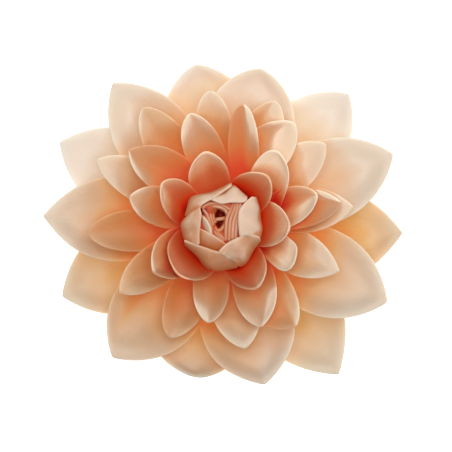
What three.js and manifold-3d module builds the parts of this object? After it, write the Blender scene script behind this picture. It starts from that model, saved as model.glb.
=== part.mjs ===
// A dahlia flower head, picked and lying on its back: layered petals round a folded bud, and a green
// calyx. Millimetres, +Z up. The origin is the middle of the cut end that the flower lies on. Azimuths
// are in degrees, anticlockwise from +X seen from above.

import * as THREE from 'three';
import { mergeVertices } from 'three/addons/utils/BufferGeometryUtils.js';
import Module from 'manifold-3d';

const wasm = await Module();
wasm.setup();

// Thicknesses
const PETAL_THICKNESS = 1.0;
const BUD_THICKNESS = 0.95;
const BRACT_THICKNESS = 1.1;

// Receptacle: the dome that the petals grow from
const RECEPTACLE_RADIUS = 11;
const RECEPTACLE_BOTTOM = 6;
const RECEPTACLE_TOP = 29;
const RECEPTACLE_SIDES = 16;

// Bud floor: the lens under the bud's hollow
const FLOOR_BOTTOM = 20;
const FLOOR_SHOULDER = 27;

// Calyx: the cut end, the cup under the receptacle and its bracts
const CUT_RADIUS = 6.5;
const CUP_RADIUS = 10.5;
const CUP_GAP = 0.3;
const CUP_SIDES = 36;
const BRACT_COUNT = 6;
const FIRST_BRACT = 20;
const BRACT_REACH = 22;
const BRACT_HALF_WIDTH = 4.6;

// A petal's midline leaves the receptacle at rootRadius and rootHeight with rootSlope, and ends at its
// reach and at tipHeight with tipSlope. Its half width starts at rootShare of the full one, is full at
// widest and then falls to the tip as (1 - x^tipPower)^tipRound. It is cupped as an arc of half angle
// rootCup to tipCup, and a bowl that starts margin inside the edge and is bowlWidth wide deepens it.
const LAYERS = {
  ground: {
    rootRadius: 6, rootHeight: 7, rootSlope: 4, tipHeight: 11, tipSlope: 14,
    rootShare: 0.3, widest: 0.52, tipPower: 2.6, tipRound: 0.94,
    rootCup: 0.55, tipCup: 0.3, bowl: 2.2, margin: 3.6, bowlWidth: 7, rows: 7, columns: 5,
  },
  broad: {
    rootRadius: 6, rootHeight: 9.5, rootSlope: 20, tipHeight: 19, tipSlope: 10,
    rootShare: 0.3, widest: 0.52, tipPower: 2.6, tipRound: 0.94,
    rootCup: 0.7, tipCup: 0.35, bowl: 2.6, margin: 3.4, bowlWidth: 7, rows: 7, columns: 5,
  },
  outer: {
    rootRadius: 6, rootHeight: 12, rootSlope: 36, tipHeight: 26, tipSlope: 14,
    rootShare: 0.34, widest: 0.55, tipPower: 2.6, tipRound: 0.86,
    rootCup: 0.9, tipCup: 0.5, bowl: 1.4, margin: 2.4, bowlWidth: 5, rows: 6, columns: 5,
  },
  middle: {
    rootRadius: 6, rootHeight: 14, rootSlope: 46, tipHeight: 31, tipSlope: 20,
    rootShare: 0.36, widest: 0.58, tipPower: 2.8, tipRound: 0.8,
    rootCup: 1.0, tipCup: 0.65, bowl: 1.2, margin: 2, bowlWidth: 5, rows: 6, columns: 5,
  },
  inner: {
    rootRadius: 6, rootHeight: 15, rootSlope: 58, tipHeight: 34, tipSlope: 30,
    rootShare: 0.4, widest: 0.6, tipPower: 2.8, tipRound: 0.66,
    rootCup: 1.1, tipCup: 0.85, bowl: 0.8, margin: 1.6, bowlWidth: 4, rows: 6, columns: 5,
  },
  collar: {
    rootRadius: 7, rootHeight: 15, rootSlope: 70, tipHeight: 36, tipSlope: 40,
    rootShare: 0.45, widest: 0.6, tipPower: 2.8, tipRound: 0.6,
    rootCup: 1.1, tipCup: 0.95, bowl: 0.6, margin: 1.4, bowlWidth: 4, rows: 6, columns: 5,
  },
  bract: {
    rootRadius: 5, rootHeight: 3.6, rootSlope: 0, tipHeight: 1.6, tipSlope: -18,
    rootShare: 0.8, widest: 0.35, tipPower: 2.2, tipRound: 0.8,
    rootCup: 0.35, tipCup: 0.25, bowl: 0, margin: 2, bowlWidth: 3, rows: 6, columns: 5,
  },
};

// Each petal: layer, azimuth of its tip, reach, half width, and what sets it apart from its layer. skew
// widens its left side, sway turns its root round the axis, lift raises its tip and curl steepens it.
const PETALS = [
  ['ground', 99, 55.5, 15.8, { lift: 3, curl: 22, tipPower: 3.2, tipRound: 0.86 }],
  ['ground', 153, 62, 15, { skew: -0.05 }],
  ['ground', 204, 59.5, 15.3, {}],
  ['ground', 260, 52.8, 17.6, { skew: -0.3, lift: 3, curl: 22, tipPower: 3.8, tipRound: 0.86 }],
  ['ground', 308, 64.5, 15.3, { skew: 0.1 }],
  ['ground', 357.5, 61.5, 16, { skew: -0.12 }],
  ['ground', 46, 62, 15, { skew: -0.05 }],
  ['broad', 127.5, 60.5, 13.8, {}],
  ['broad', 177, 60.2, 14.8, {}],
  ['broad', 230.5, 58, 16.2, { skew: 0.05, lift: -1 }],
  ['broad', 285, 55.5, 16.5, { skew: -0.05, lift: 2, curl: 14, tipPower: 3 }],
  ['broad', 335, 61.5, 15.3, {}],
  ['broad', 22.5, 62.5, 14.6, {}],
  ['broad', 76, 54.8, 16.2, { lift: 1, curl: 16, tipPower: 3.2 }],
  ['outer', 95, 45.5, 7, {}],
  ['outer', 124, 47, 8, { skew: 0.12 }],
  ['outer', 152.5, 47, 7.6, { skew: -0.05 }],
  ['outer', 183.5, 45, 7.8, { tipRound: 0.7 }],
  ['outer', 213.5, 41, 7.5, { skew: -0.1, sway: -3 }],
  ['outer', 245, 41.8, 7.9, {}],
  ['outer', 280.5, 42, 9.4, { skew: -0.05 }],
  ['outer', 306, 42, 10, { skew: -0.2, sway: 4, tipRound: 0.78 }],
  ['outer', 338.5, 42, 8.2, { sway: 6 }],
  ['outer', 8, 44, 8.5, { skew: 0.05, sway: 9, lift: 1 }],
  ['outer', 38, 44, 8.4, {}],
  ['outer', 66.5, 45.5, 8.6, {}],
  ['middle', 55, 41.5, 9, { skew: 0.05, sway: 14, lift: -1.5, rootHeight: 12.5 }],
  ['middle', 80, 40.8, 6.2, { sway: -12, lift: 3.5, rootShare: 0.5 }],
  ['middle', 106, 38.5, 8.4, { sway: -12, lift: -1, rootHeight: 13 }],
  ['middle', 141, 39.5, 8.3, { skew: -0.15, sway: -14, lift: 1, rootHeight: 15 }],
  ['middle', 163, 32, 7.5, {}],
  ['middle', 262, 32.8, 6.7, { sway: -9 }],
  ['middle', 291.5, 36, 7.6, { sway: 24 }],
  ['middle', 13, 40, 7.5, { sway: 8 }],
  ['inner', 18, 33, 7.5, { sway: -16, lift: -1.5, rootSlope: 54 }],
  ['inner', 51, 31.3, 8, { skew: -0.05, sway: -22 }],
  ['inner', 215, 27.4, 9.4, { skew: -0.1 }],
  ['inner', 335, 27, 8.5, { skew: -0.12, lift: -3, rootSlope: 54 }],
  ['collar', 103, 24.8, 8.2, { skew: 0.1 }],
  ['collar', 144.5, 25.8, 7.5, { sway: 28 }],
  ['collar', 223.5, 21.6, 11, { skew: -0.12, tipPower: 3.4, tipRound: 0.42 }],
  ['collar', 299, 24, 8.7, {}],
  ['collar', 8, 22.8, 9, { sway: -10 }],
  ['collar', 48, 22.5, 8.6, { sway: 6, lift: 2.5 }],
];

// The bud's sheets: each hangs from a rim over a belly and tucks in to a foot, which is the belly's point
// drawn towards the axis and down. fold says how full the fold is, from 0 for straight to 1 for a quarter
// ellipse.
const TUCK_SHARE = 0.62;
const TUCK_DROP = 8;
const FOLDED_SHEETS = [
  {
    fold: 0.45,
    rim: [[-12.4, -4.9, 36.5], [-8.8, -6.2, 37.5], [-4.9, -7.4, 38.3], [-1, -8.7, 38.6], [3, -8.8, 38]],
    belly: [[-12.2, -6.3, 32.5], [-8.3, -10, 31], [-4.6, -14.6, 30], [0.5, -14.9, 30], [5.2, -14, 31]],
  },
  {
    fold: 0.6,
    rim: [[-1.5, -8.5, 39.2], [2, -5.9, 39.6], [5.9, -4, 39.6], [9.5, -2.9, 39], [12.4, -4, 37.5]],
    belly: [[3.9, -12.2, 33.5], [5.8, -13.6, 31.5], [8, -12.4, 31], [10.6, -7.9, 31.5], [12.8, -4.9, 33]],
  },
  {
    fold: 1,
    rim: [[9.8, 9.3, 38.8], [7.5, 7.4, 39.6], [5.6, 4.9, 40.2], [5.2, 1, 40.2], [5.6, -3.8, 39.4]],
    belly: [[11.1, 9.2, 33], [12.1, 5.9, 32], [12.6, 2, 31], [13.1, -1.3, 31], [12.5, -4.5, 32]],
  },
  {
    fold: 0.9,
    rim: [[-3.6, 8.2, 39.3], [-0.3, 6.9, 39.6], [2.9, 7.2, 39.6], [6.9, 7.2, 39.2], [8.3, 8.2, 38.6]],
    belly: [[-3.3, 9, 36.5], [0.2, 10.8, 34], [3.3, 13, 33], [6.2, 10.9, 33], [8.4, 8.9, 33]],
  },
  {
    fold: 0.7,
    rim: [[-7, 2.5, 38], [-6.8, 5.9, 38.6], [-4.9, 7.5, 39], [-2.5, 8.8, 39], [3.3, 12.9, 38]],
    belly: [[-12.1, 2.9, 33], [-11.1, 6.2, 33], [-9.8, 9.3, 33], [-3.6, 10.6, 33.5], [3.3, 13.8, 34]],
  },
  {
    fold: 0.75,
    rim: [[-7.2, 5.9, 39.3], [-6.5, 3.3, 39.6], [-6.9, 0, 39.2], [-7.2, -3.3, 38.5], [-7.2, -6.4, 37.6]],
    belly: [[-10.5, 3.6, 36], [-13.1, 0.8, 33], [-13.1, -1.6, 32], [-12.4, -4.3, 32.5], [-11.1, -6.9, 33]],
  },
  {
    fold: 0.35,
    rim: [[-6.5, 3, 38], [-4.6, 1, 38.4], [-3.6, -1.3, 38.4], [-2, -3.2, 38.3], [1.3, -5.3, 38]],
    belly: [[-7.2, 0.2, 35], [-7.4, -2, 34.5], [-6, -6.6, 34], [-2.5, -9, 34], [1.7, -9, 34]],
  },
];

// The bud's inner strips: thin walls sunk in the floor of the bud's hollow, with feet that lie lean
// outside the rim.
const HOLLOW_CENTRE = [-1, 1];
const HOLLOW_FLOOR = 30;
const FLOOR_RADIUS = 9;
const STRIP_SINK = 1;
const STANDING_STRIPS = [
  { lean: 0.9, rim: [[3, 6.6, 37.2], [2.3, 4, 37.6], [1.5, 1.5, 37.8], [1.3, -2, 37.8], [1.4, -4.9, 37.6]] },
  { lean: 0.9, rim: [[3.9, 7, 37.8], [3.4, 3.6, 38.2], [2.8, 0, 38.4], [2.8, -4.3, 38.2]] },
  { lean: 0.9, rim: [[5, 7, 38.4], [4.7, 3.6, 38.8], [4.2, 0, 38.9], [4.2, -4.3, 38.7]] },
  { lean: 0.8, rim: [[-6.7, 5.7, 37], [-4.3, 6.7, 37.4], [-1.6, 6.5, 37.6], [1.3, 5.4, 37.6], [2.9, 3.9, 37]] },
  { lean: 0.8, rim: [[-6.4, 4.4, 36], [-3.9, 5.6, 36.6], [-1.5, 5.8, 36.8], [0.7, 4.7, 36.8], [1.5, 2.3, 36]] },
  { lean: 0.8, rim: [[-4.3, 5.4, 35.6], [-4.9, 2.9, 36.2], [-4.6, 0.7, 36.4], [-3.9, -1.5, 36.4]] },
  { lean: 0.8, rim: [[-2.9, 5.3, 35], [-3.7, 2.9, 35.6], [-3.6, 0.5, 35.8], [-2.9, -2, 35.8]] },
  { lean: 0.6, rim: [[-1.5, 5.4, 34.4], [-2.6, 3.4, 34.8], [-2.6, 1.3, 35]] },
  { lean: 0, rim: [[-2.4, 1.8, 34.4], [0, 2, 34.6], [1.4, 2, 34.4]] },
  { lean: 0.6, rim: [[-3.1, -1.6, 34.6], [-1, -1.4, 34.9], [0.6, -0.6, 35], [1.5, 1, 35]] },
];
const FOLDED_STATIONS = 6;
const FOLD_STEPS = [0, 0.5, 1];
const STRIP_STATIONS = 4;

// How far a midline's control points lie from its ends, as a share of the distance between them, and how
// much closer its rows lie near the tip
const MIDLINE_ARM = 0.38;
const TIP_CROWDING = 1.5;

const PETAL_COLOUR = 0xe6b690;
const CALYX_COLOUR = 0x7d9150;

function radians(degrees) {
  return (degrees * Math.PI) / 180;
}

function smooth(x) {
  const t = Math.min(Math.max(x, 0), 1);
  return t * t * (3 - 2 * t);
}

// A direction at an azimuth and a slope above the horizontal.
function direction(azimuth, slope) {
  const flat = Math.cos(slope);
  return new THREE.Vector3(Math.cos(azimuth) * flat, Math.sin(azimuth) * flat, Math.sin(slope));
}

// A petal's midline as a cubic curve from its root to its tip.
function midline(shape, azimuth, reach) {
  const rootAzimuth = azimuth + radians(shape.sway ?? 0);
  const root = direction(rootAzimuth, 0).multiplyScalar(shape.rootRadius).setZ(shape.rootHeight);
  const tip = direction(azimuth, 0).multiplyScalar(reach).setZ(shape.tipHeight + (shape.lift ?? 0));
  const arm = MIDLINE_ARM * root.distanceTo(tip);
  const leave = direction(rootAzimuth, radians(shape.rootSlope)).multiplyScalar(arm);
  const arrive = direction(azimuth, radians(shape.tipSlope + (shape.curl ?? 0))).multiplyScalar(arm);
  return new THREE.CubicBezierCurve3(root, root.clone().add(leave), tip.clone().sub(arrive), tip);
}

function halfWidth(shape, u) {
  const rise = shape.rootShare + (1 - shape.rootShare) * smooth(u / shape.widest);
  const fall = Math.max((u - shape.widest) / (1 - shape.widest), 0);
  return rise * Math.max(1 - fall ** shape.tipPower, 0) ** shape.tipRound;
}

// The middle surface of a petal or bract: rows of points from root to tip, each from right to left.
function petalSurface([layer, azimuthDegrees, reach, width, changes]) {
  const shape = { ...LAYERS[layer], ...changes };
  const curve = midline(shape, radians(azimuthDegrees), reach);
  const rows = [];
  for (let i = 0; i < shape.rows; i += 1) {
    const u = 1 - (1 - i / (shape.rows - 1)) ** TIP_CROWDING;
    const middle = curve.getPoint(u);
    const forward = curve.getTangent(u);
    const left = new THREE.Vector3(-forward.y, forward.x, 0).normalize();
    const up = forward.clone().cross(left);
    const half = width * halfWidth(shape, u);
    const cup = shape.rootCup + (shape.tipCup - shape.rootCup) * u;
    const row = [];
    for (let j = 0; j < shape.columns; j += 1) {
      const v = (2 * j) / (shape.columns - 1) - 1;
      const side = half * (1 + (shape.skew ?? 0) * Math.sign(v));
      const inside = side * (1 - Math.abs(v)) - shape.margin;
      const across = (side / cup) * Math.sin(v * cup);
      const rise = (side / cup) * (1 - Math.cos(v * cup)) - shape.bowl * smooth(inside / shape.bowlWidth);
      row.push(middle.clone().addScaledVector(left, across).addScaledVector(up, rise));
    }
    rows.push(row);
  }
  return rows;
}

function pointsOf(list) {
  return list.map((point) => new THREE.Vector3(...point));
}

// A bud sheet's middle surface: at each station, its profile from the rim over the belly to the tucked
// foot.
function foldedSurface({ rim, belly, fold }) {
  const rimCurve = new THREE.CatmullRomCurve3(pointsOf(rim));
  const bellyCurve = new THREE.CatmullRomCurve3(pointsOf(belly));
  const rows = [];
  for (let i = 0; i < FOLDED_STATIONS; i += 1) {
    const s = i / (FOLDED_STATIONS - 1);
    const top = rimCurve.getPoint(s);
    const out = bellyCurve.getPoint(s);
    const foot = new THREE.Vector3(out.x * TUCK_SHARE, out.y * TUCK_SHARE, out.z - TUCK_DROP);
    const row = [];
    for (const t of FOLD_STEPS) {
      const across = fold * Math.sin((t * Math.PI) / 2) + (1 - fold) * t;
      const down = fold * (1 - Math.cos((t * Math.PI) / 2)) + (1 - fold) * t;
      const height = THREE.MathUtils.lerp(top.z, out.z, down);
      row.push(new THREE.Vector3().lerpVectors(top, out, across).setZ(height));
    }
    row.push(foot);
    rows.push(row);
  }
  return rows;
}

// An inner strip's middle surface: at each station, its rim and its foot in the hollow's floor.
function standingSurface({ rim, lean }) {
  const curve = new THREE.CatmullRomCurve3(pointsOf(rim));
  const centre = new THREE.Vector3(...HOLLOW_CENTRE, 0);
  const rows = [];
  for (let i = 0; i < STRIP_STATIONS; i += 1) {
    const top = curve.getPoint(i / (STRIP_STATIONS - 1));
    const outwards = top.clone().sub(centre).setZ(0).normalize();
    const foot = top.clone().addScaledVector(outwards, lean).setZ(HOLLOW_FLOOR - STRIP_SINK);
    rows.push([top, foot]);
  }
  return rows;
}

function surfaceNormal(rows, i, j) {
  const before = rows[Math.max(i - 1, 0)][j];
  const after = rows[Math.min(i + 1, rows.length - 1)][j];
  const right = rows[i][Math.max(j - 1, 0)];
  const left = rows[i][Math.min(j + 1, rows[i].length - 1)];
  const along = after.clone().sub(before);
  const across = left.clone().sub(right);
  return along.cross(across).normalize();
}

// Both faces of a surface, half the thickness to each side, with a strip round the edge. The two faces
// are split into triangles alike. With a pointed end, the last row is one point.
function thicken(rows, thickness, pointed) {
  const last = rows.length - 1;
  const columns = rows[0].length;
  const positions = [];
  for (const side of [1, -1]) {
    for (let i = 0; i <= last; i += 1) {
      for (let j = 0; j < columns; j += 1) {
        const atTip = pointed && i === last;
        const normal = atTip
          ? surfaceNormal(rows, last - 1, Math.floor(columns / 2))
          : surfaceNormal(rows, i, j);
        positions.push(...rows[i][j].clone().addScaledVector(normal, (side * thickness) / 2).toArray());
      }
    }
  }
  const face = rows.length * columns;
  const at = (i, j) => i * columns + (pointed && i === last ? 0 : j);
  const index = [];
  const triangle = (a, b, c) => {
    if (a !== b && b !== c && c !== a) index.push(a, b, c);
  };
  const quad = (a, b, c, d) => {
    triangle(a, b, c);
    triangle(a, c, d);
  };
  for (let i = 0; i < last; i += 1) {
    for (let j = 0; j < columns - 1; j += 1) {
      const [a, b, c, d] = [at(i, j), at(i + 1, j), at(i + 1, j + 1), at(i, j + 1)];
      quad(a, b, c, d);
      triangle(face + a, face + c, face + b);
      triangle(face + a, face + d, face + c);
    }
    quad(at(i, 0), face + at(i, 0), face + at(i + 1, 0), at(i + 1, 0));
    const end = columns - 1;
    quad(at(i, end), at(i + 1, end), face + at(i + 1, end), face + at(i, end));
  }
  for (let j = 0; j < columns - 1; j += 1) {
    quad(at(0, j), at(0, j + 1), face + at(0, j + 1), face + at(0, j));
    quad(at(last, j), face + at(last, j), face + at(last, j + 1), at(last, j + 1));
  }
  const geometry = new THREE.BufferGeometry();
  geometry.setAttribute('position', new THREE.Float32BufferAttribute(positions, 3));
  geometry.setIndex(index);
  return geometry;
}

// A body turned about Z from a profile of [radius, height] points that starts and ends on the axis.
function turned(profile, sides) {
  const outline = profile.map(([radius, height]) => new THREE.Vector2(radius, height));
  return new THREE.LatheGeometry(outline, sides).rotateX(Math.PI / 2);
}

// A closed geometry as a solid, with its faces pointing out.
function solid(geometry) {
  const bare = geometry.clone();
  bare.deleteAttribute('normal');
  bare.deleteAttribute('uv');
  const merged = mergeVertices(bare, 1e-5);
  const index = [...merged.index.array];
  const kept = [];
  for (let i = 0; i < index.length; i += 3) {
    const [a, b, c] = index.slice(i, i + 3);
    if (a !== b && b !== c && c !== a) kept.push(a, b, c);
  }
  const make = (triangles) => new wasm.Manifold(new wasm.Mesh({
    numProp: 3,
    vertProperties: merged.attributes.position.array,
    triVerts: new Uint32Array(triangles),
  }));
  const body = make(kept);
  return body.volume() > 0 ? body : make(kept.reverse());
}

// All solids joined. What a join seals in or leaves loose is dropped, so one closed body remains.
function fused(solids) {
  let whole = solids[0];
  for (const next of solids.slice(1)) whole = whole.add(next);
  const bodies = whole.decompose();
  bodies.sort((a, b) => b.volume() - a.volume());
  return bodies[0];
}

function meshOf(body, name, colour, roughness) {
  const { vertProperties, triVerts } = body.getMesh();
  const geometry = new THREE.BufferGeometry();
  geometry.setAttribute('position', new THREE.BufferAttribute(new Float32Array(vertProperties), 3));
  geometry.setIndex(new THREE.BufferAttribute(new Uint32Array(triVerts), 1));
  geometry.computeVertexNormals();
  const material = new THREE.MeshStandardMaterial({ color: colour, roughness, metalness: 0 });
  const mesh = new THREE.Mesh(geometry, material);
  mesh.name = name;
  return mesh;
}

function receptacle() {
  const r = RECEPTACLE_RADIUS;
  const profile = [
    [0, RECEPTACLE_BOTTOM],
    [0.9 * r, RECEPTACLE_BOTTOM],
    [r, 9],
    [r, 15],
    [0.88 * r, 21],
    [0.6 * r, 26],
    [0, RECEPTACLE_TOP],
  ];
  return solid(turned(profile, RECEPTACLE_SIDES));
}

// The bud's floor, a lens that closes it below the strips.
function budFloor() {
  const profile = [
    [0, FLOOR_BOTTOM],
    [0.7 * FLOOR_RADIUS, FLOOR_BOTTOM + 2],
    [FLOOR_RADIUS, FLOOR_SHOULDER],
    [FLOOR_RADIUS, HOLLOW_FLOOR - 0.6],
    [0, HOLLOW_FLOOR],
  ];
  return solid(turned(profile, RECEPTACLE_SIDES));
}

function flowerHead() {
  const petals = PETALS.map((petal) => thicken(petalSurface(petal), PETAL_THICKNESS, true));
  const sheets = FOLDED_SHEETS.map((sheet) => thicken(foldedSurface(sheet), BUD_THICKNESS, false));
  const strips = STANDING_STRIPS.map((strip) => thicken(standingSurface(strip), BUD_THICKNESS, false));
  const blades = [...petals, ...sheets, ...strips].map(solid);
  return meshOf(fused([receptacle(), budFloor(), ...blades]), 'flower_head', PETAL_COLOUR, 0.5);
}

function calyx() {
  const top = RECEPTACLE_BOTTOM - CUP_GAP;
  const profile = [
    [0, 0],
    [CUT_RADIUS, 0],
    [CUT_RADIUS + 0.6, 0.28 * top],
    [CUP_RADIUS, 0.74 * top],
    [CUP_RADIUS - 1, top],
    [0, top],
  ];
  const parts = [solid(turned(profile, CUP_SIDES))];
  for (let k = 0; k < BRACT_COUNT; k += 1) {
    const bract = ['bract', FIRST_BRACT + (360 / BRACT_COUNT) * k, BRACT_REACH, BRACT_HALF_WIDTH, {}];
    parts.push(solid(thicken(petalSurface(bract), BRACT_THICKNESS, true)));
  }
  return meshOf(fused(parts), 'calyx', CALYX_COLOUR, 0.6);
}

const dahlia = new THREE.Group();
dahlia.name = 'dahlia';
dahlia.add(flowerHead(), calyx());

export default dahlia;
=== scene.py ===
"""A picked dahlia head lying on its back: layered cupped petals round a folded bud, and a green calyx.

Metres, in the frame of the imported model: the origin is the middle of the cut end, +Z runs up out of the bud.
Charts of petals and bud sheets are in millimetres and degrees, as the flower was measured.
"""

import logging
import math
from dataclasses import dataclass, field, replace
from enum import Enum
from typing import Iterable, Sequence, Union

import bmesh
import bpy
import numpy as np
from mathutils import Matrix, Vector
from mathutils.bvhtree import BVHTree


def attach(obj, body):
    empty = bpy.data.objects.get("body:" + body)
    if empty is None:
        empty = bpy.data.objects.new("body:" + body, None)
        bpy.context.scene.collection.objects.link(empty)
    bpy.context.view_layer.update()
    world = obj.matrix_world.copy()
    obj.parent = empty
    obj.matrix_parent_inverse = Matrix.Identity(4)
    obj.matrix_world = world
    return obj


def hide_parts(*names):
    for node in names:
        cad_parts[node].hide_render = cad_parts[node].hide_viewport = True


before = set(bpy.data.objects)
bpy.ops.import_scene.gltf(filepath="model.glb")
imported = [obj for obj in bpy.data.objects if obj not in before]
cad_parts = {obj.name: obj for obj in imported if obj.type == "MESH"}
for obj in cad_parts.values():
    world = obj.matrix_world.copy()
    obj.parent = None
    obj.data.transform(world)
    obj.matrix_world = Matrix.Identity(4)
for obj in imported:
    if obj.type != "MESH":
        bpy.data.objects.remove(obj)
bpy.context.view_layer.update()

LOG = logging.getLogger("dahlia")
MM = 0.001
ROOT_BODY = "root"
HEAD_NODE = "flower_head"
CALYX_NODE = "calyx"

Pair = tuple[float, float]
Triple = tuple[float, float, float]
Colour = tuple[int, int, int]
Grid = np.ndarray

# Attributes of the petals: how open a place is to the sky, and how much of the light is hidden from it. The
# materials paint both into the colours as painted shade and painted glow.
OPEN = "open"
SHADE = "shade"
# The part of a place's openness that the sky gives. The surface's own paleness gives the rest, with the painted
# light and shade set for each petal.
OPEN_SHARE = 0.65
# The main lamp, which also sets which places lie in shade.
LAMP_PLACE: Triple = (0.04, 0.12, 0.95)
LAMP_WIDTH = 0.6


# Node graphs


@dataclass(frozen=True)
class Value:
    """A number or vector socket in a node tree, with arithmetic that adds nodes."""

    graph: "Graph"
    socket: bpy.types.NodeSocket

    def __add__(self, other: "Operand") -> "Value":
        """Sum."""
        return self.graph.math("ADD", self, other)

    def __radd__(self, other: "Operand") -> "Value":
        """Sum, from the right."""
        return self.graph.math("ADD", other, self)

    def __sub__(self, other: "Operand") -> "Value":
        """Difference."""
        return self.graph.math("SUBTRACT", self, other)

    def __rsub__(self, other: "Operand") -> "Value":
        """Difference, from the right."""
        return self.graph.math("SUBTRACT", other, self)

    def __mul__(self, other: "Operand") -> "Value":
        """Product."""
        return self.graph.math("MULTIPLY", self, other)

    def __rmul__(self, other: "Operand") -> "Value":
        """Product, from the right."""
        return self.graph.math("MULTIPLY", other, self)

    def __truediv__(self, other: "Operand") -> "Value":
        """Quotient."""
        return self.graph.math("DIVIDE", self, other)

    def __pow__(self, other: "Operand") -> "Value":
        """Power."""
        return self.graph.math("POWER", self, other)


Operand = Union[Value, float]


@dataclass
class Graph:
    """Adds nodes to a geometry or shader tree and links them."""

    tree: bpy.types.NodeTree

    def node(self, kind: str, **settings: object) -> bpy.types.Node:
        """Adds a node.

        Args:
            kind: The node's type name.
            settings: Properties to set on it.

        Returns:
            The new node.
        """
        made = self.tree.nodes.new(kind)
        for name, setting in settings.items():
            setattr(made, name, setting)
        return made

    def feed(self, socket: bpy.types.NodeSocket, source: object) -> None:
        """Links a value to an input socket, or sets the socket to a plain constant.

        Args:
            socket: The input.
            source: A Value, a socket or a constant.
        """
        if isinstance(source, Value):
            self.tree.links.new(source.socket, socket)
        elif isinstance(source, bpy.types.NodeSocket):
            self.tree.links.new(source, socket)
        else:
            socket.default_value = source

    def value(self, socket: bpy.types.NodeSocket) -> Value:
        """Wraps an output socket as a Value."""
        return Value(self, socket)

    def math(self, operation: str, *operands: Operand) -> Value:
        """Adds a Math node.

        Args:
            operation: The node's operation.
            operands: Values or constants, in the order of the node's inputs.

        Returns:
            The node's output.
        """
        made = self.node("ShaderNodeMath", operation=operation)
        for socket, operand in zip(made.inputs, operands):
            self.feed(socket, operand)
        return self.value(made.outputs[0])

    def vector(self, operation: str, *operands: object, scale: object = None) -> Value:
        """Adds a Vector Math node.

        Args:
            operation: The node's operation.
            operands: Vector values or constants.
            scale: The factor of a SCALE operation.

        Returns:
            The node's vector output, or its number for a dot product or a length.
        """
        made = self.node("ShaderNodeVectorMath", operation=operation)
        for socket, operand in zip(made.inputs, operands):
            self.feed(socket, operand)
        if scale is not None:
            self.feed(made.inputs["Scale"], scale)
        output = "Value" if operation in {"DOT_PRODUCT", "LENGTH"} else "Vector"
        return self.value(made.outputs[output])

    def combine(self, x: Operand, y: Operand, z: Operand) -> Value:
        """Adds a Combine XYZ node.

        Args:
            x: The first number.
            y: The second number.
            z: The third number.

        Returns:
            The vector.
        """
        made = self.node("ShaderNodeCombineXYZ")
        for socket, operand in zip(made.inputs, (x, y, z)):
            self.feed(socket, operand)
        return self.value(made.outputs[0])

    def separate(self, vector: object) -> tuple[Value, Value, Value]:
        """Adds a Separate XYZ node.

        Args:
            vector: A vector socket or value.

        Returns:
            Its three numbers.
        """
        made = self.node("ShaderNodeSeparateXYZ")
        self.feed(made.inputs[0], vector)
        return tuple(self.value(output) for output in made.outputs)

    def attribute(self, name: str) -> Value:
        """A number that the mesh carries."""
        return self.value(self.node("ShaderNodeAttribute", attribute_name=name).outputs["Fac"])

    def smooth(self, value: Value, low: Operand = 0.0, high: Operand = 1.0) -> Value:
        """Eases a number.

        Args:
            value: The number.
            low: Where it is to be 0.
            high: Where it is to be 1.

        Returns:
            The eased number, from 0 to 1.
        """
        made = self.node("ShaderNodeMapRange", interpolation_type="SMOOTHSTEP")
        self.feed(made.inputs["Value"], value)
        self.feed(made.inputs["From Min"], low)
        self.feed(made.inputs["From Max"], high)
        return self.value(made.outputs[0])

    def noise(self, vector: object, scale: float, detail: float = 2.0, **settings: object) -> Value:
        """A noise pattern of about 0 to 1.

        Args:
            vector: Where it is read.
            scale: Its scale.
            detail: Its octaves.
            settings: Other properties of the node.

        Returns:
            The noise.
        """
        made = self.node("ShaderNodeTexNoise", **settings)
        self.feed(made.inputs["Vector"], vector)
        made.inputs["Scale"].default_value = scale
        made.inputs["Detail"].default_value = detail
        return self.value(made.outputs[0])

    def mix(self, share: object, first: object, second: object) -> Value:
        """A colour mix.

        Args:
            share: How much of the second colour.
            first: A colour.
            second: Another colour.

        Returns:
            The mixed colour.
        """
        made = self.node("ShaderNodeMix", data_type="RGBA")
        self.feed(made.inputs[0], share)
        self.feed(made.inputs[6], first)
        self.feed(made.inputs[7], second)
        return self.value(made.outputs[2])

    def ramp(self, share: Value, stops: Sequence[tuple[float, Sequence[float]]]) -> Value:
        """A colour ramp.

        Args:
            share: Where the ramp is read.
            stops: Positions and linear colours.

        Returns:
            The colour.
        """
        made = self.node("ShaderNodeValToRGB")
        elements = made.color_ramp.elements
        while len(elements) < len(stops):
            elements.new(0.5)
        for element, (position, colour) in zip(elements, stops):
            element.position = position
            element.color = colour
        self.feed(made.inputs[0], share)
        return self.value(made.outputs[0])


def linear(red: int, green: int, blue: int) -> tuple[float, float, float, float]:
    """A linear colour from an sRGB one of 0 to 255."""
    parts = [part / 255 for part in (red, green, blue)]
    return (*[part / 12.92 if part <= 0.04045 else ((part + 0.055) / 1.055) ** 2.4 for part in parts], 1.0)


# Shared shader effects


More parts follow.
